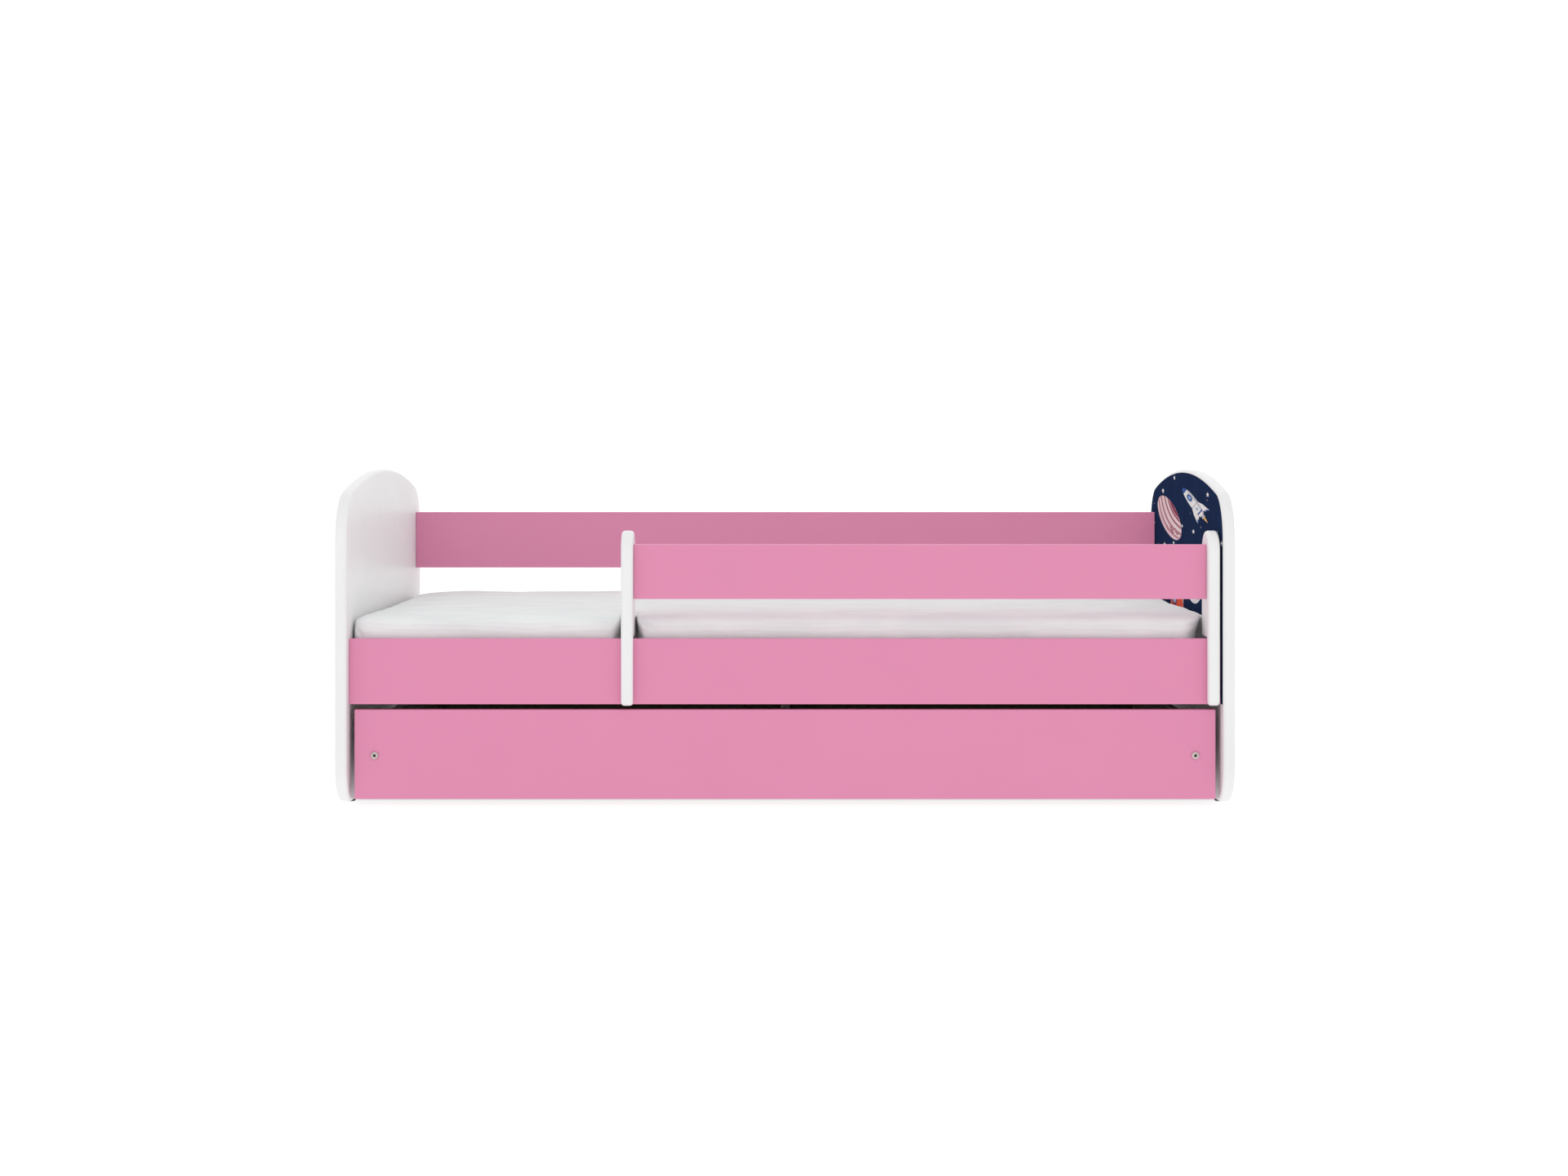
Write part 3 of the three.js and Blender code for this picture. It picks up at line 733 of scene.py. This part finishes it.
def castor_axle(place):
    """Riveted axle with domed heads."""
    node = f"castor_axle_{place}"
    low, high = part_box(node)
    half = (high.x - low.x) / 2
    head = [(half - depth, radius) for depth, radius in in_metres(AXLE_HEAD)]
    profile = [(-height, radius) for height, radius in head] + head[::-1]
    bm = bmesh.new()
    add_lathe(bm, profile, middle(node), (1, 0, 0), steps=32)
    make_piece(node, bm, [zinc], DRAWER_BODY)


def castor_fork(place):
    """Pressed fork: the CAD shape with its flats merged and its edges eased."""
    node = f"castor_fork_{place}"
    bm = bmesh.new()
    bm.from_mesh(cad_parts[node].data)
    bmesh.ops.remove_doubles(bm, verts=bm.verts, dist=1e-5)
    bmesh.ops.dissolve_limit(bm, angle_limit=math.radians(1), verts=bm.verts, edges=bm.edges)
    hard = [edge for edge in bm.edges if edge.calc_face_angle(0) > math.radians(50)]
    bmesh.ops.bevel(bm, geom=hard, offset=0.25 * MM, segments=2, profile=0.5, affect="EDGES")
    for face in bm.faces:
        face.material_index = 0
    make_piece(node, bm, [zinc], DRAWER_BODY, sharp=50)


for row in ROWS:
    for side in SIDES:
        glide(row, side)
        castor_wheel(f"{row}_{side}")
        castor_axle(f"{row}_{side}")
        castor_fork(f"{row}_{side}")


# ---------------- printed end panel

PRINT_LAYER = 0.08 * MM
STAR_WAIST = 0.42
INKS = [
    ink("print_night_blue", (0.0145, 0.0275, 0.0740), spread=0.10),
    ink("print_white", (0.80, 0.79, 0.78), spread=0.03),
    ink("print_grey", (0.50, 0.51, 0.55)),
    ink("print_blush", (0.62, 0.38, 0.42)),
    ink("print_blush_pale", (0.78, 0.62, 0.64)),
    ink("print_maroon", (0.27, 0.055, 0.095)),
    ink("print_orange", (0.80, 0.115, 0.065)),
    ink("print_amber", (0.75, 0.44, 0.16)),
    ink("print_blue", (0.050, 0.105, 0.33)),
    ink("print_sky", (0.34, 0.47, 0.68)),
]
NIGHT, PAPER, GREY, BLUSH, PALE, MAROON, ORANGE, AMBER, BLUE, SKY = range(len(INKS))


class PrintedSheet:
    """Ink shapes laid over one another. Places are mm from the front edge and above the floor."""

    def __init__(self):
        self.bm = bmesh.new()
        low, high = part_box("panel_print_sheet")
        self.front = cad_box[0].y
        self.base = high.x
        self.face = low.x

    def patch(self, outline, level, colour, place=None):
        """One closed flat shape whose face stands above the sheet by its level.

        A drawing in units of its own gives the function that places its points on the sheet.
        """
        if place:
            outline = [place(*point) for point in outline]
        x_face = self.face - level * PRINT_LAYER
        points = [(self.front + d * MM, z * MM) for d, z in outline]
        rings = [[(x, y, z) for y, z in points] for x in (self.base, x_face)]
        add_loft(self.bm, rings, material=colour)

    def blob(self, centre, half_d, half_z, level, colour, lean=0.0, steps=40):
        """An ellipse, which may lean back."""
        self.patch(ellipse(centre, half_d, half_z, steps, lean), level, colour)

    def star(self, centre, half_d, half_z):
        """A small five-pointed star."""
        outline = []
        for index in range(10):
            angle = math.radians(90 + 36 * index)
            reach = STAR_WAIST if index % 2 else 1.0
            d = centre[0] + half_d * reach * math.cos(angle)
            outline.append((d, centre[1] + half_z * reach * math.sin(angle)))
        self.patch(outline, 1, PAPER)


def disc_band(low, high, steps=36):
    """A bowed stripe across a unit disc, as (along, across) points."""
    lower, upper = [], []
    for index in range(steps + 1):
        along = 2 * index / steps - 1
        rim = math.sqrt(max(0.0, 1 - along * along)) * 0.995
        bow = PLANET_BOW * (1 - along * along)
        bottom = max(-rim, min(rim, low + bow))
        top = max(-rim, min(rim, high + bow))
        if top - bottom > 0.004:
            lower.append((along, bottom))
            upper.append((along, top))
    return lower + upper[::-1]


# The striped planet is a disc that is stretched and leans back. Its stripes are in disc units.
PLANET_CENTRE = (618, 514)
PLANET_HALF_D = 130
PLANET_HALF_Z = 44
PLANET_LEAN = 84
PLANET_TURN = math.radians(62)
PLANET_BANDS = [
    (-1.60, -1.36, MAROON),
    (-1.28, -1.17, MAROON),
    (-1.16, -0.94, PALE),
    (-0.88, -0.80, MAROON),
    (-0.74, -0.46, PALE),
    (-0.40, -0.33, MAROON),
    (-0.24, -0.02, PALE),
    (0.02, 0.07, MAROON),
    (0.20, 0.34, PALE),
]
PLANET_BOW = 0.62
# Each storm: along, across, half length, half width
PLANET_STORMS = [
    (-0.46, 0.36, 0.17, 0.13),
    (-0.68, 0.02, 0.15, 0.12),
    (-0.20, 0.64, 0.12, 0.09),
]


def on_planet(along, across):
    """Unit-disc point to a place on the sheet. The stripes run along the long diagonal."""
    c = along * math.cos(PLANET_TURN) + across * math.sin(PLANET_TURN)
    s = along * math.sin(PLANET_TURN) - across * math.cos(PLANET_TURN)
    return (
        PLANET_CENTRE[0] + PLANET_HALF_D * c + PLANET_LEAN * s,
        PLANET_CENTRE[1] + PLANET_HALF_Z * s,
    )


def striped_planet(sheet):
    sheet.blob(PLANET_CENTRE, PLANET_HALF_D, PLANET_HALF_Z, 2, BLUSH, lean=PLANET_LEAN, steps=64)
    for low, high, colour in PLANET_BANDS:
        sheet.patch(disc_band(low, high), 3, colour, on_planet)
    for along, across, half_along, half_across in PLANET_STORMS:
        for share, level, colour in ((1.0, 4, MAROON), (0.72, 5, BLUSH), (0.36, 6, MAROON)):
            ring = ellipse((along, across), half_along * share, half_across * share, 24)
            sheet.patch(ring, level, colour, on_planet)


# The ship's tail, and the steps from there to its nose and to one side of its hull
SHIP_TAIL = (218, 528)
SHIP_AXIS = (228, 49)
SHIP_SIDE = (-31, 7.1)
HULL_WIDEST = 0.45
HULL_TAIL_TAPER = 0.38


def on_ship(along, across):
    """A place on the sheet, for a hull that is 1 long and reaches 1 to either side."""
    return tuple(
        tail + along * axis + across * side
        for tail, axis, side in zip(SHIP_TAIL, SHIP_AXIS, SHIP_SIDE)
    )


def hull_half_width(along):
    """An elliptic nose ahead of the widest station, and a gentle taper behind it."""
    if along > HULL_WIDEST:
        return math.sqrt(max(0.0, 1 - ((along - HULL_WIDEST) / (1 - HULL_WIDEST)) ** 2))
    return 1 - HULL_TAIL_TAPER * ((HULL_WIDEST - along) / HULL_WIDEST) ** 2


def hull_slice(start, end, steps=20):
    """Outline of the hull between two stations."""
    stations = [start + (end - start) * index / steps for index in range(steps + 1)]
    one_side = [(s, hull_half_width(s)) for s in stations]
    other_side = [(s, -width) for s, width in reversed(one_side)]
    tip = one_side[-1][1] < 1e-6
    return one_side + (other_side[1:] if tip else other_side)


def spaceship(sheet):
    """A plain white rocket with a round window, fins and a grey nozzle."""
    nozzle = [(-0.08, 0.42), (0.06, 0.34), (0.06, -0.34), (-0.08, -0.42)]
    sheet.patch(nozzle, 1, GREY, on_ship)
    flame = [(-0.06, 0.26), (-0.15, 0.20), (-0.26, 0.0), (-0.15, -0.20), (-0.06, -0.26)]
    sheet.patch(flame, 2, AMBER, on_ship)
    for sign in (1, -1):
        fin = [(0.42, 0.85), (0.20, 1.62), (-0.05, 2.05), (0.00, 1.30), (0.10, 0.60)]
        sheet.patch([(along, sign * across) for along, across in fin], 2, PAPER, on_ship)
        stripe = [(0.02, 1.72), (-0.05, 2.05), (0.00, 1.30), (0.04, 1.22)]
        sheet.patch([(along, sign * across) for along, across in stripe], 3, BLUE, on_ship)
    sheet.patch(hull_slice(0.02, 1.0), 3, PAPER, on_ship)
    shadow = [(s, w) for s, w in hull_slice(0.02, 0.98) if w >= 0]
    shadow += [(s, w * 0.55) for s, w in reversed(shadow)]
    sheet.patch(shadow, 4, GREY, on_ship)
    for start, end, colour in ((0.10, 0.14, BLUE), (0.36, 0.39, GREY), (0.87, 1.0, BLUE)):
        sheet.patch(hull_slice(start, end), 5, colour, on_ship)
    for half_along, half_across, level, colour in (
        (0.135, 0.66, 6, GREY), (0.108, 0.52, 7, BLUE), (0.055, 0.24, 8, SKY),
    ):
        sheet.patch(ellipse((0.64, 0.0), half_along, half_across, 24), level, colour, on_ship)
    sheet.patch(ellipse((0.25, -0.1), 0.05, 0.26, 24), 6, SKY, on_ship)


ROCKET_D = 517
ROCKET_HALF = 70
ROCKET_TAIL_Z = 320
ROCKET_SHOULDER_Z = 385
ROCKET_SHOULDER_RISE = 36
ROCKET_TIP_Z = 430
ROCKET_RIM = 6
ROCKET_WINDOW = (548, 352)


def standing_rocket(sheet):
    """An orange rocket on end: a white outline, a straight body and a round window."""
    for grow, level, colour in ((ROCKET_RIM, 2, PAPER), (0, 3, ORANGE)):
        half = ROCKET_HALF + grow
        rim = grow / 3
        side = [(ROCKET_D + half, ROCKET_TAIL_Z - rim), (ROCKET_D + half, ROCKET_SHOULDER_Z)]
        for turn in (0.5, 1.0):
            rise = (ROCKET_SHOULDER_RISE + rim) * math.sin(turn)
            side.append((ROCKET_D + half * math.cos(turn), ROCKET_SHOULDER_Z + rise))
        outline = side + [(ROCKET_D, ROCKET_TIP_Z + rim)]
        outline += [(2 * ROCKET_D - d, z) for d, z in reversed(side)]
        sheet.patch(outline, level, colour)
    sheet.blob(ROCKET_WINDOW, 34, 17, 4, MAROON)
    sheet.blob(ROCKET_WINDOW, 22, 11, 5, SKY)
    for side in (-1, 1):
        base = ROCKET_D + side * 72
        fin = [(base, 350), (base + side * 40, 322), (base + side * 40, 304), (base, 318)]
        sheet.patch(fin, 2, MAROON)
    sheet.patch([(475, 318), (559, 318), (545, 306), (489, 306)], 2, GREY)


MOON_CRATERS = [(275, 372, 26, 9), (338, 410, 34, 14), (262, 414, 18, 7)]


def pale_moon(sheet):
    """A white moon whose craters are grey crescents."""
    sheet.blob((313, 400), 100, 46, 2, PAPER)
    for d, z, half_d, half_z in MOON_CRATERS:
        sheet.blob((d, z), half_d, half_z, 3, GREY)
        sheet.blob((d - 3, z + 1.5), half_d * 0.75, half_z * 0.72, 4, PAPER)


RINGED_CENTRE = (650, 262)


def ringed_planet(sheet):
    """A small planet with a ring, low on the sheet."""
    sheet.blob(RINGED_CENTRE, 90, 15, 2, AMBER, lean=34)
    sheet.blob(RINGED_CENTRE, 70, 9, 3, NIGHT, lean=26)
    sheet.blob(RINGED_CENTRE, 46, 36, 4, SKY)
    sheet.patch([(604, 266), (696, 272), (690, 282), (612, 275)], 5, BLUE)


# Each star, in mm on the sheet: its place, half its width and half its height
STARS = [
    (701, 568, 19, 6.2), (552, 597, 15, 5.2), (162, 569, 18, 5.2), (321, 494, 17, 5.0),
    (456, 501, 12, 4.5), (679, 455, 19, 6.0), (562, 463, 14, 4.6), (18, 482, 15, 5.4),
    (820, 498, 10, 4.6), (60, 380, 11, 4.8), (180, 330, 11, 4.8), (400, 290, 13, 5.4),
    (250, 240, 11, 4.8), (120, 215, 13, 5.2), (380, 220, 12, 4.8), (500, 230, 13, 5.2),
    (560, 280, 11, 4.8), (760, 240, 13, 5.2), (690, 330, 10, 4.4), (60, 260, 10, 4.4),
    (820, 380, 10, 4.4),
]
DUST_COUNT = 46


def scattered_dust(sheet):
    """Tiny specks at fixed pseudo-random places."""
    generator = np.random.default_rng(11)
    for d, z, size in generator.uniform((40, 205, 0.9), (840, 560, 1.8), (DUST_COUNT, 3)):
        sheet.blob((d, z), size * 1.4, size, 1, PALE, steps=8)


def printed_sheet():
    sheet = PrintedSheet()
    low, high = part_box("panel_print_sheet")
    top = [point for point in panel_outline(PANEL_ROUNDOVER + FIT_GAP) if point[1] > low.z]
    face = [(high.y, low.z)] + top + [(low.y, low.z)]
    sheet.patch([((y - sheet.front) / MM, z / MM) for y, z in face], 0, NIGHT)
    scattered_dust(sheet)
    for d, z, half_d, half_z in STARS:
        sheet.star((d, z), half_d, half_z)
    striped_planet(sheet)
    spaceship(sheet)
    standing_rocket(sheet)
    pale_moon(sheet)
    ringed_planet(sheet)
    piece = make_piece(
        "panel_print_sheet", sheet.bm, INKS, FRAME_BODY,
        sharp=20, name="panel_print_finished",
    )
    # The white board behind the sheet lights its neighbours, so the rail's two ends match.
    piece.visible_diffuse = False


printed_sheet()


# ---------------- mattress

MATTRESS_VOXEL = 13 * MM
SLAB_TOP_DROP = 1 * MM
SLAB_EDGE = 14 * MM
FRONT_CORNER = 14 * MM
REAR_CORNER = 66 * MM
SWELL_CAP = 5 * MM
SWELL_FRAMES = 20
SIDE_CLEARANCE = 2.5 * MM
CORNER_PUSH = 6 * MM


def slab_plan(half, y_low, y_high, inset, steps=8):
    """Plan of the mattress, inset on all sides: tighter corners in front than at the rear."""
    points = []
    corners = (
        (1, y_low, FRONT_CORNER, -90),
        (1, y_high, REAR_CORNER, 0),
        (-1, y_high, REAR_CORNER, 90),
        (-1, y_low, FRONT_CORNER, 180),
    )
    for sign, y, radius, start in corners:
        inward = radius if y == y_low else -radius
        centre = (sign * (half - radius), y + inward)
        points += arc(centre, radius - inset, start, start + 90, steps)
    return points


def slab():
    """The closed shape that the cover starts from, a little lower than the mattress."""
    low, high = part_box("mattress")
    turns = [math.radians(90 * index / 6) for index in range(7)]
    profile = [(low.z + SLAB_EDGE * (1 - math.cos(t)), SLAB_EDGE * (1 - math.sin(t))) for t in turns]
    top = low.z + high.z - SLAB_TOP_DROP
    profile += [(top - z, inset) for z, inset in reversed(profile)]
    bm = bmesh.new()
    rings = []
    for z, inset in profile:
        rings.append([(x, y, z) for x, y in slab_plan(high.x, low.y, high.y, inset)])
    add_loft(bm, rings)
    bmesh.ops.recalc_face_normals(bm, faces=bm.faces)
    return link_mesh("mattress_cover", bm)


def read_points(mesh):
    points = np.empty(len(mesh.vertices) * 3)
    mesh.vertices.foreach_get("co", points)
    return points.reshape(-1, 3)


def write_points(mesh, points):
    mesh.vertices.foreach_set("co", points.ravel())
    mesh.update()


COVER_CLOTH = {
    "quality": 4,
    "mass": 0.4,
    "tension_stiffness": 12.0,
    "compression_stiffness": 8.0,
    "shear_stiffness": 4.0,
    "bending_stiffness": 1.2,
    "use_pressure": True,
    "uniform_pressure_force": 4.0,
}


def swell(piece, cap):
    """Let air pressure round the cover out, moving no point further than the cap."""
    start = read_points(piece.data)
    cloth = piece.modifiers.new("cover", "CLOTH")
    for name, value in COVER_CLOTH.items():
        setattr(cloth.settings, name, value)
    cloth.settings.effector_weights.gravity = 0.0
    cloth.point_cache.frame_start = 1
    cloth.point_cache.frame_end = SWELL_FRAMES
    for step in range(1, SWELL_FRAMES + 1):
        bpy.context.scene.frame_set(step)
    graph = bpy.context.evaluated_depsgraph_get()
    end = read_points(piece.evaluated_get(graph).data)
    piece.modifiers.clear()
    bpy.context.scene.frame_set(1)
    moved = end - start
    length = np.linalg.norm(moved, axis=1, keepdims=True)
    allowed = cap * np.tanh(length / cap)
    write_points(piece.data, start + moved * allowed / np.maximum(length, 1e-9))


def smooth_step(low, high, value):
    t = np.clip((value - low) / (high - low), 0.0, 1.0)
    return t * t * (3 - 2 * t)


def noise_field(points, scales, seed):
    """Smooth noise between -1 and 1 at each point, with a scale for each axis."""
    offset = Vector((seed * 7.3, seed * 3.1, seed * 5.7))
    scaled = points * np.array(scales)
    return np.array([noise.noise(Vector(point) + offset) for point in scaled])


def fine_regions(low):
    """Boxes at the front face that hold the folds: round both posts and at the left end."""
    front, rear = low.y - 0.02, low.y + 0.05
    bottom, top = 0.29, 0.36
    spans = [(x - 0.07, x + 0.07) for x in POST_X] + [(low.x - 0.01, low.x + 0.08)]
    return [((left, front, bottom), (right, rear, top)) for left, right in spans]


def refine(piece, regions):
    """Split the faces inside the given boxes once more, for folds smaller than a face."""
    bm = bmesh.new()
    bm.from_mesh(piece.data)
    chosen = set()
    for low, high in regions:
        for face in bm.faces:
            centre = face.calc_center_median()
            if all(low[axis] <= centre[axis] <= high[axis] for axis in range(3)):
                chosen.update(face.edges)
    bmesh.ops.subdivide_edges(bm, edges=list(chosen), cuts=1, use_grid_fill=True, smooth=0.5)
    bm.to_mesh(piece.data)
    bm.free()


POST_X = [middle(f"guard_post_{side}").x for side in SIDES]
HOLLOW_FLOOR = 13 * MM
HOLLOW_REACH = 260 * MM
HOLLOW_CLEARANCE = 6 * MM
HOLLOW_EXTRA_DEPTH = 72 * MM
LEFT_HOLLOW_MOUTH = (32 * MM, 16 * MM)
RIGHT_HOLLOW_MOUTH = (54 * MM, 44 * MM)


def press_hollows(points, low, high):
    """Push the front edge back behind both guard posts, more widely towards the board."""
    post_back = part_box("guard_post_left")[1].y
    board_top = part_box("front_side_board")[1].z
    level = smooth_step(board_top, high.z, points[:, 2])
    depth = post_back + HOLLOW_CLEARANCE - low.y + HOLLOW_EXTRA_DEPTH * (1 - level)
    back = np.clip(1 - (points[:, 1] - low.y) / HOLLOW_REACH, 0, 1) ** 2
    beside_left = np.abs(points[:, 0] - POST_X[0])
    beside_right = np.maximum(POST_X[1] - points[:, 0], 0)
    for beside, (mouth_low, mouth_high) in (
        (beside_left, LEFT_HOLLOW_MOUTH), (beside_right, RIGHT_HOLLOW_MOUTH),
    ):
        mouth = mouth_low + (mouth_high - mouth_low) * level
        inward = np.clip((mouth - beside) / (mouth - HOLLOW_FLOOR), 0, 1)
        points[:, 1] += depth * back * (1 - np.sqrt(1 - inward ** 2))


# Creases in the front face, in mm: start (x, z), end (x, z), depth and width, with X from the place
FOLDS = {
    "left_post": [
        ((18, 338), (56, 320), 3.0, 3.0),
        ((16, 331), (38, 312), 2.0, 2.6),
        ((-16, 336), (-36, 306), 2.4, 3.0),
    ],
    "right_post": [
        ((-12, 336), (-50, 325), 2.4, 3.0),
        ((-14, 326), (-40, 310), 2.0, 2.6),
    ],
    "left_end": [
        ((6, 330), (24, 304), 3.0, 3.4),
    ],
}


def press_folds(points, low):
    places = {"left_post": POST_X[0], "right_post": POST_X[1], "left_end": low.x}
    for place, folds in FOLDS.items():
        origin = np.array((places[place], 0.0))
        for start, end, depth, width in folds:
            line = [origin + np.array(point) * MM for point in (start, end)]
            press_fold(points, *line, depth * MM, width * MM)


def press_fold(points, start, end, depth, width):
    """A crease in the front face along a line from start to end, each (x, z)."""
    along = end - start
    length = np.linalg.norm(along)
    along = along / length
    local = points[:, [0, 2]] - start
    s = local @ along / length
    across = local @ np.array((-along[1], along[0]))
    taper = np.clip(1 - (2 * s - 1) ** 2, 0, 1)
    front = 1 - smooth_step(-0.350, -0.330, points[:, 1])
    points[:, 1] += depth * taper * front * np.exp(-(across / width) ** 2)


# How far the cover's ripples and lumps reach, in mm
LONG_RIPPLE = 2.0
SHORT_RIPPLE = 1.1
TOP_LUMP = 1.9
FRONT_LUMP = 1.3
FRONT_FINE_LUMP = 0.5
FRONT_GROOVE = 1.6
REAR_WANDER = 2.5


def rumple_top(points, low, high):
    """Long shallow ripples along the bed, as a loose cover has."""
    top = smooth_step(high.z - 16 * MM, high.z - 3 * MM, points[:, 2])
    inside = smooth_step(low.y, low.y + 60 * MM, points[:, 1])
    warp = noise_field(points, (1.3, 2.0, 0), 1) * 0.05
    bent = points + np.stack([warp * 0, warp, warp * 0], axis=1)
    long_waves = noise_field(bent, (1.7, 15.0, 0), 2)
    short_waves = noise_field(bent, (4.5, 34.0, 0), 3)
    lumps = noise_field(bent, (10.0, 13.0, 0), 4)
    height = LONG_RIPPLE * long_waves + SHORT_RIPPLE * short_waves + TOP_LUMP * lumps
    points[:, 2] += top * (0.25 + 0.75 * inside) * height * MM


def rumple_sides(points, low, high):
    """Soft unevenness of the front face and of the outline."""
    lumps = noise_field(points, (7.0, 7.0, 22.0), 5)
    finer = noise_field(points, (22.0, 22.0, 40.0), 6)
    front = 1 - smooth_step(low.y + 10 * MM, low.y + 70 * MM, points[:, 1])
    groove = np.exp(-((points[:, 2] - high.z + 17 * MM) / (8 * MM)) ** 2)
    inward = FRONT_LUMP * lumps + FRONT_FINE_LUMP * finer + FRONT_GROOVE * groove
    points[:, 1] += front * inward * MM
    rear = smooth_step(high.y - 80 * MM, high.y - 10 * MM, points[:, 1])
    points[:, 1] += rear * REAR_WANDER * MM * (noise_field(points, (3.0, 0, 8.0), 7) - 0.6)


def fill_corners(points, low, high):
    """Push the two front corners out, close to the end panels."""
    front = 1 - smooth_step(low.y + 30 * MM, low.y + 260 * MM, points[:, 1])
    near_end = smooth_step(high.x - 60 * MM, high.x - 10 * MM, np.abs(points[:, 0]))
    points[:, 0] += np.sign(points[:, 0]) * front * near_end * CORNER_PUSH


def keep_in(points, low, high):
    """Keep the cover off the slats, the boards and the end panels."""
    points[:, 0] = np.clip(points[:, 0], low.x - SIDE_CLEARANCE, high.x + SIDE_CLEARANCE)
    points[:, 1] = np.clip(points[:, 1], low.y - 0.4 * MM, high.y + 1 * MM)
    points[:, 2] = np.maximum(points[:, 2], low.z)


def make_mattress():
    low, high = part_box("mattress")
    piece = slab()
    remesh = piece.modifiers.new("weave", "REMESH")
    remesh.mode = "VOXEL"
    remesh.voxel_size = MATTRESS_VOXEL
    bake_modifiers(piece)
    swell(piece, SWELL_CAP)
    finer = piece.modifiers.new("finer", "SUBSURF")
    finer.levels = 1
    finer.render_levels = 1
    bake_modifiers(piece)
    refine(piece, fine_regions(low))
    points = read_points(piece.data)
    rumple_top(points, low, high)
    rumple_sides(points, low, high)
    press_folds(points, low)
    fill_corners(points, low, high)
    press_hollows(points, low, high)
    keep_in(points, low, high)
    write_points(piece.data, points)
    piece.data.materials.clear()
    piece.data.materials.append(cover_fabric)
    piece.data.polygons.foreach_set("use_smooth", [True] * len(piece.data.polygons))
    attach(piece, MATTRESS_BODY)
    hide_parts("mattress")


make_mattress()


# ---------------- stage, light and camera

FLOOR_REACH = 40.0
FLOOR_GLOW = 0.86
# Inside these margins from the bed's outline the floor's glow fades out: the painted shadow under
# the bed.
UNLIT_MARGIN = {"side": 6 * MM, "front": 95 * MM, "rear": 95 * MM}
GLOW_FADE = 60 * MM


def glowing_floor_painted_shadow():
    """A white floor that glows, and whose glow fades out under the bed into a painted shadow."""
    shader = Shader("glowing_floor_painted_shadow", roughness=0.9)
    shader.clouded((0.25, 0.25, 0.25), shader.noise(1.5, detail=2.0), 0.99, 1.01)
    place = shader.split(shader.place)
    across = shader.maths("ABSOLUTE", place["X"])
    along = place["Y"]
    side = cad_box[1].x - UNLIT_MARGIN["side"]
    front = cad_box[0].y + UNLIT_MARGIN["front"]
    rear = cad_box[1].y - UNLIT_MARGIN["rear"]
    beside = shader.spread(across, 0.0, 1.0, side - GLOW_FADE, side)
    before = shader.spread(along, 1.0, 0.0, front, front + GLOW_FADE)
    behind = shader.spread(along, 0.0, 1.0, rear - GLOW_FADE, rear)
    lit = shader.maths("MAXIMUM", beside, shader.maths("MAXIMUM", before, behind))
    # Where lit falls to 0, under the bed, the floor stops glowing: a painted shadow.
    shader.surface("Emission Strength", shader.maths("MULTIPLY", lit, FLOOR_GLOW))
    shader.surface("Emission Color", (1.0, 1.0, 1.0))
    return shader.material


def make_floor():
    bm = bmesh.new()
    corners = [(-1, -1), (1, -1), (1, 1), (-1, 1)]
    bm.faces.new([bm.verts.new((x * FLOOR_REACH, y * FLOOR_REACH, 0.0)) for x, y in corners])
    link_mesh("floor", bm, [glowing_floor_painted_shadow()])


DOME_LEVEL = 1.12
DOME_REAR_GAIN = 0.16
DOME_SIDE_LOSS = 0.36
DOME_TOP_LOSS = 0.02


def make_world():
    """A white dome: a little brighter behind the bed, dimmer at its two ends and its top."""
    world = bpy.data.worlds.new("studio")
    world.use_nodes = True
    sky = Nodes(world.node_tree)
    place = sky.split(sky.node("ShaderNodeTexCoord", "Generated", {}))
    end_loss = sky.maths("MULTIPLY", place["X"], place["X"])
    top_loss = sky.maths("MULTIPLY", place["Z"], place["Z"])
    level = sky.maths("MULTIPLY_ADD", place["Y"], DOME_REAR_GAIN, DOME_LEVEL)
    level = sky.maths("MULTIPLY_ADD", end_loss, -DOME_SIDE_LOSS, level)
    level = sky.maths("MULTIPLY_ADD", top_loss, -DOME_TOP_LOSS, level)
    background = world.node_tree.nodes["Background"]
    sky.feed(background.inputs["Color"], (1.0, 1.0, 1.0))
    sky.feed(background.inputs["Strength"], level)
    bpy.context.scene.world = world


SOFTBOX_PLACE = Vector((0.0, -5.6, 1.5))
SOFTBOX_TARGET = Vector((0.0, 0.0, 0.35))
SOFTBOX_SIZE = (3.0, 2.2)
SOFTBOX_POWER = 6.0


def make_softbox():
    light = bpy.data.lights.new("softbox_front", "AREA")
    light.shape = "RECTANGLE"
    light.size, light.size_y = SOFTBOX_SIZE
    light.energy = SOFTBOX_POWER
    lamp = add_object("softbox_front", light, SOFTBOX_PLACE)
    aim = SOFTBOX_TARGET - SOFTBOX_PLACE
    lamp.rotation_euler = aim.to_track_quat("-Z", "Y").to_euler()


def make_camera():
    camera = bpy.data.cameras.new("camera")
    camera.lens = LENS_MM
    camera.shift_x, camera.shift_y = LENS_SHIFT
    camera.clip_end = 100.0
    place = (CAMERA_SIDE, cad_box[0].y - CAMERA_DISTANCE, CAMERA_HEIGHT)
    stand = add_object("camera", camera, place)
    stand.rotation_euler = (math.radians(90), 0, 0)
    bpy.context.scene.camera = stand


make_floor()
make_world()
make_softbox()
make_camera()
bpy.context.scene.view_settings.view_transform = "Standard"
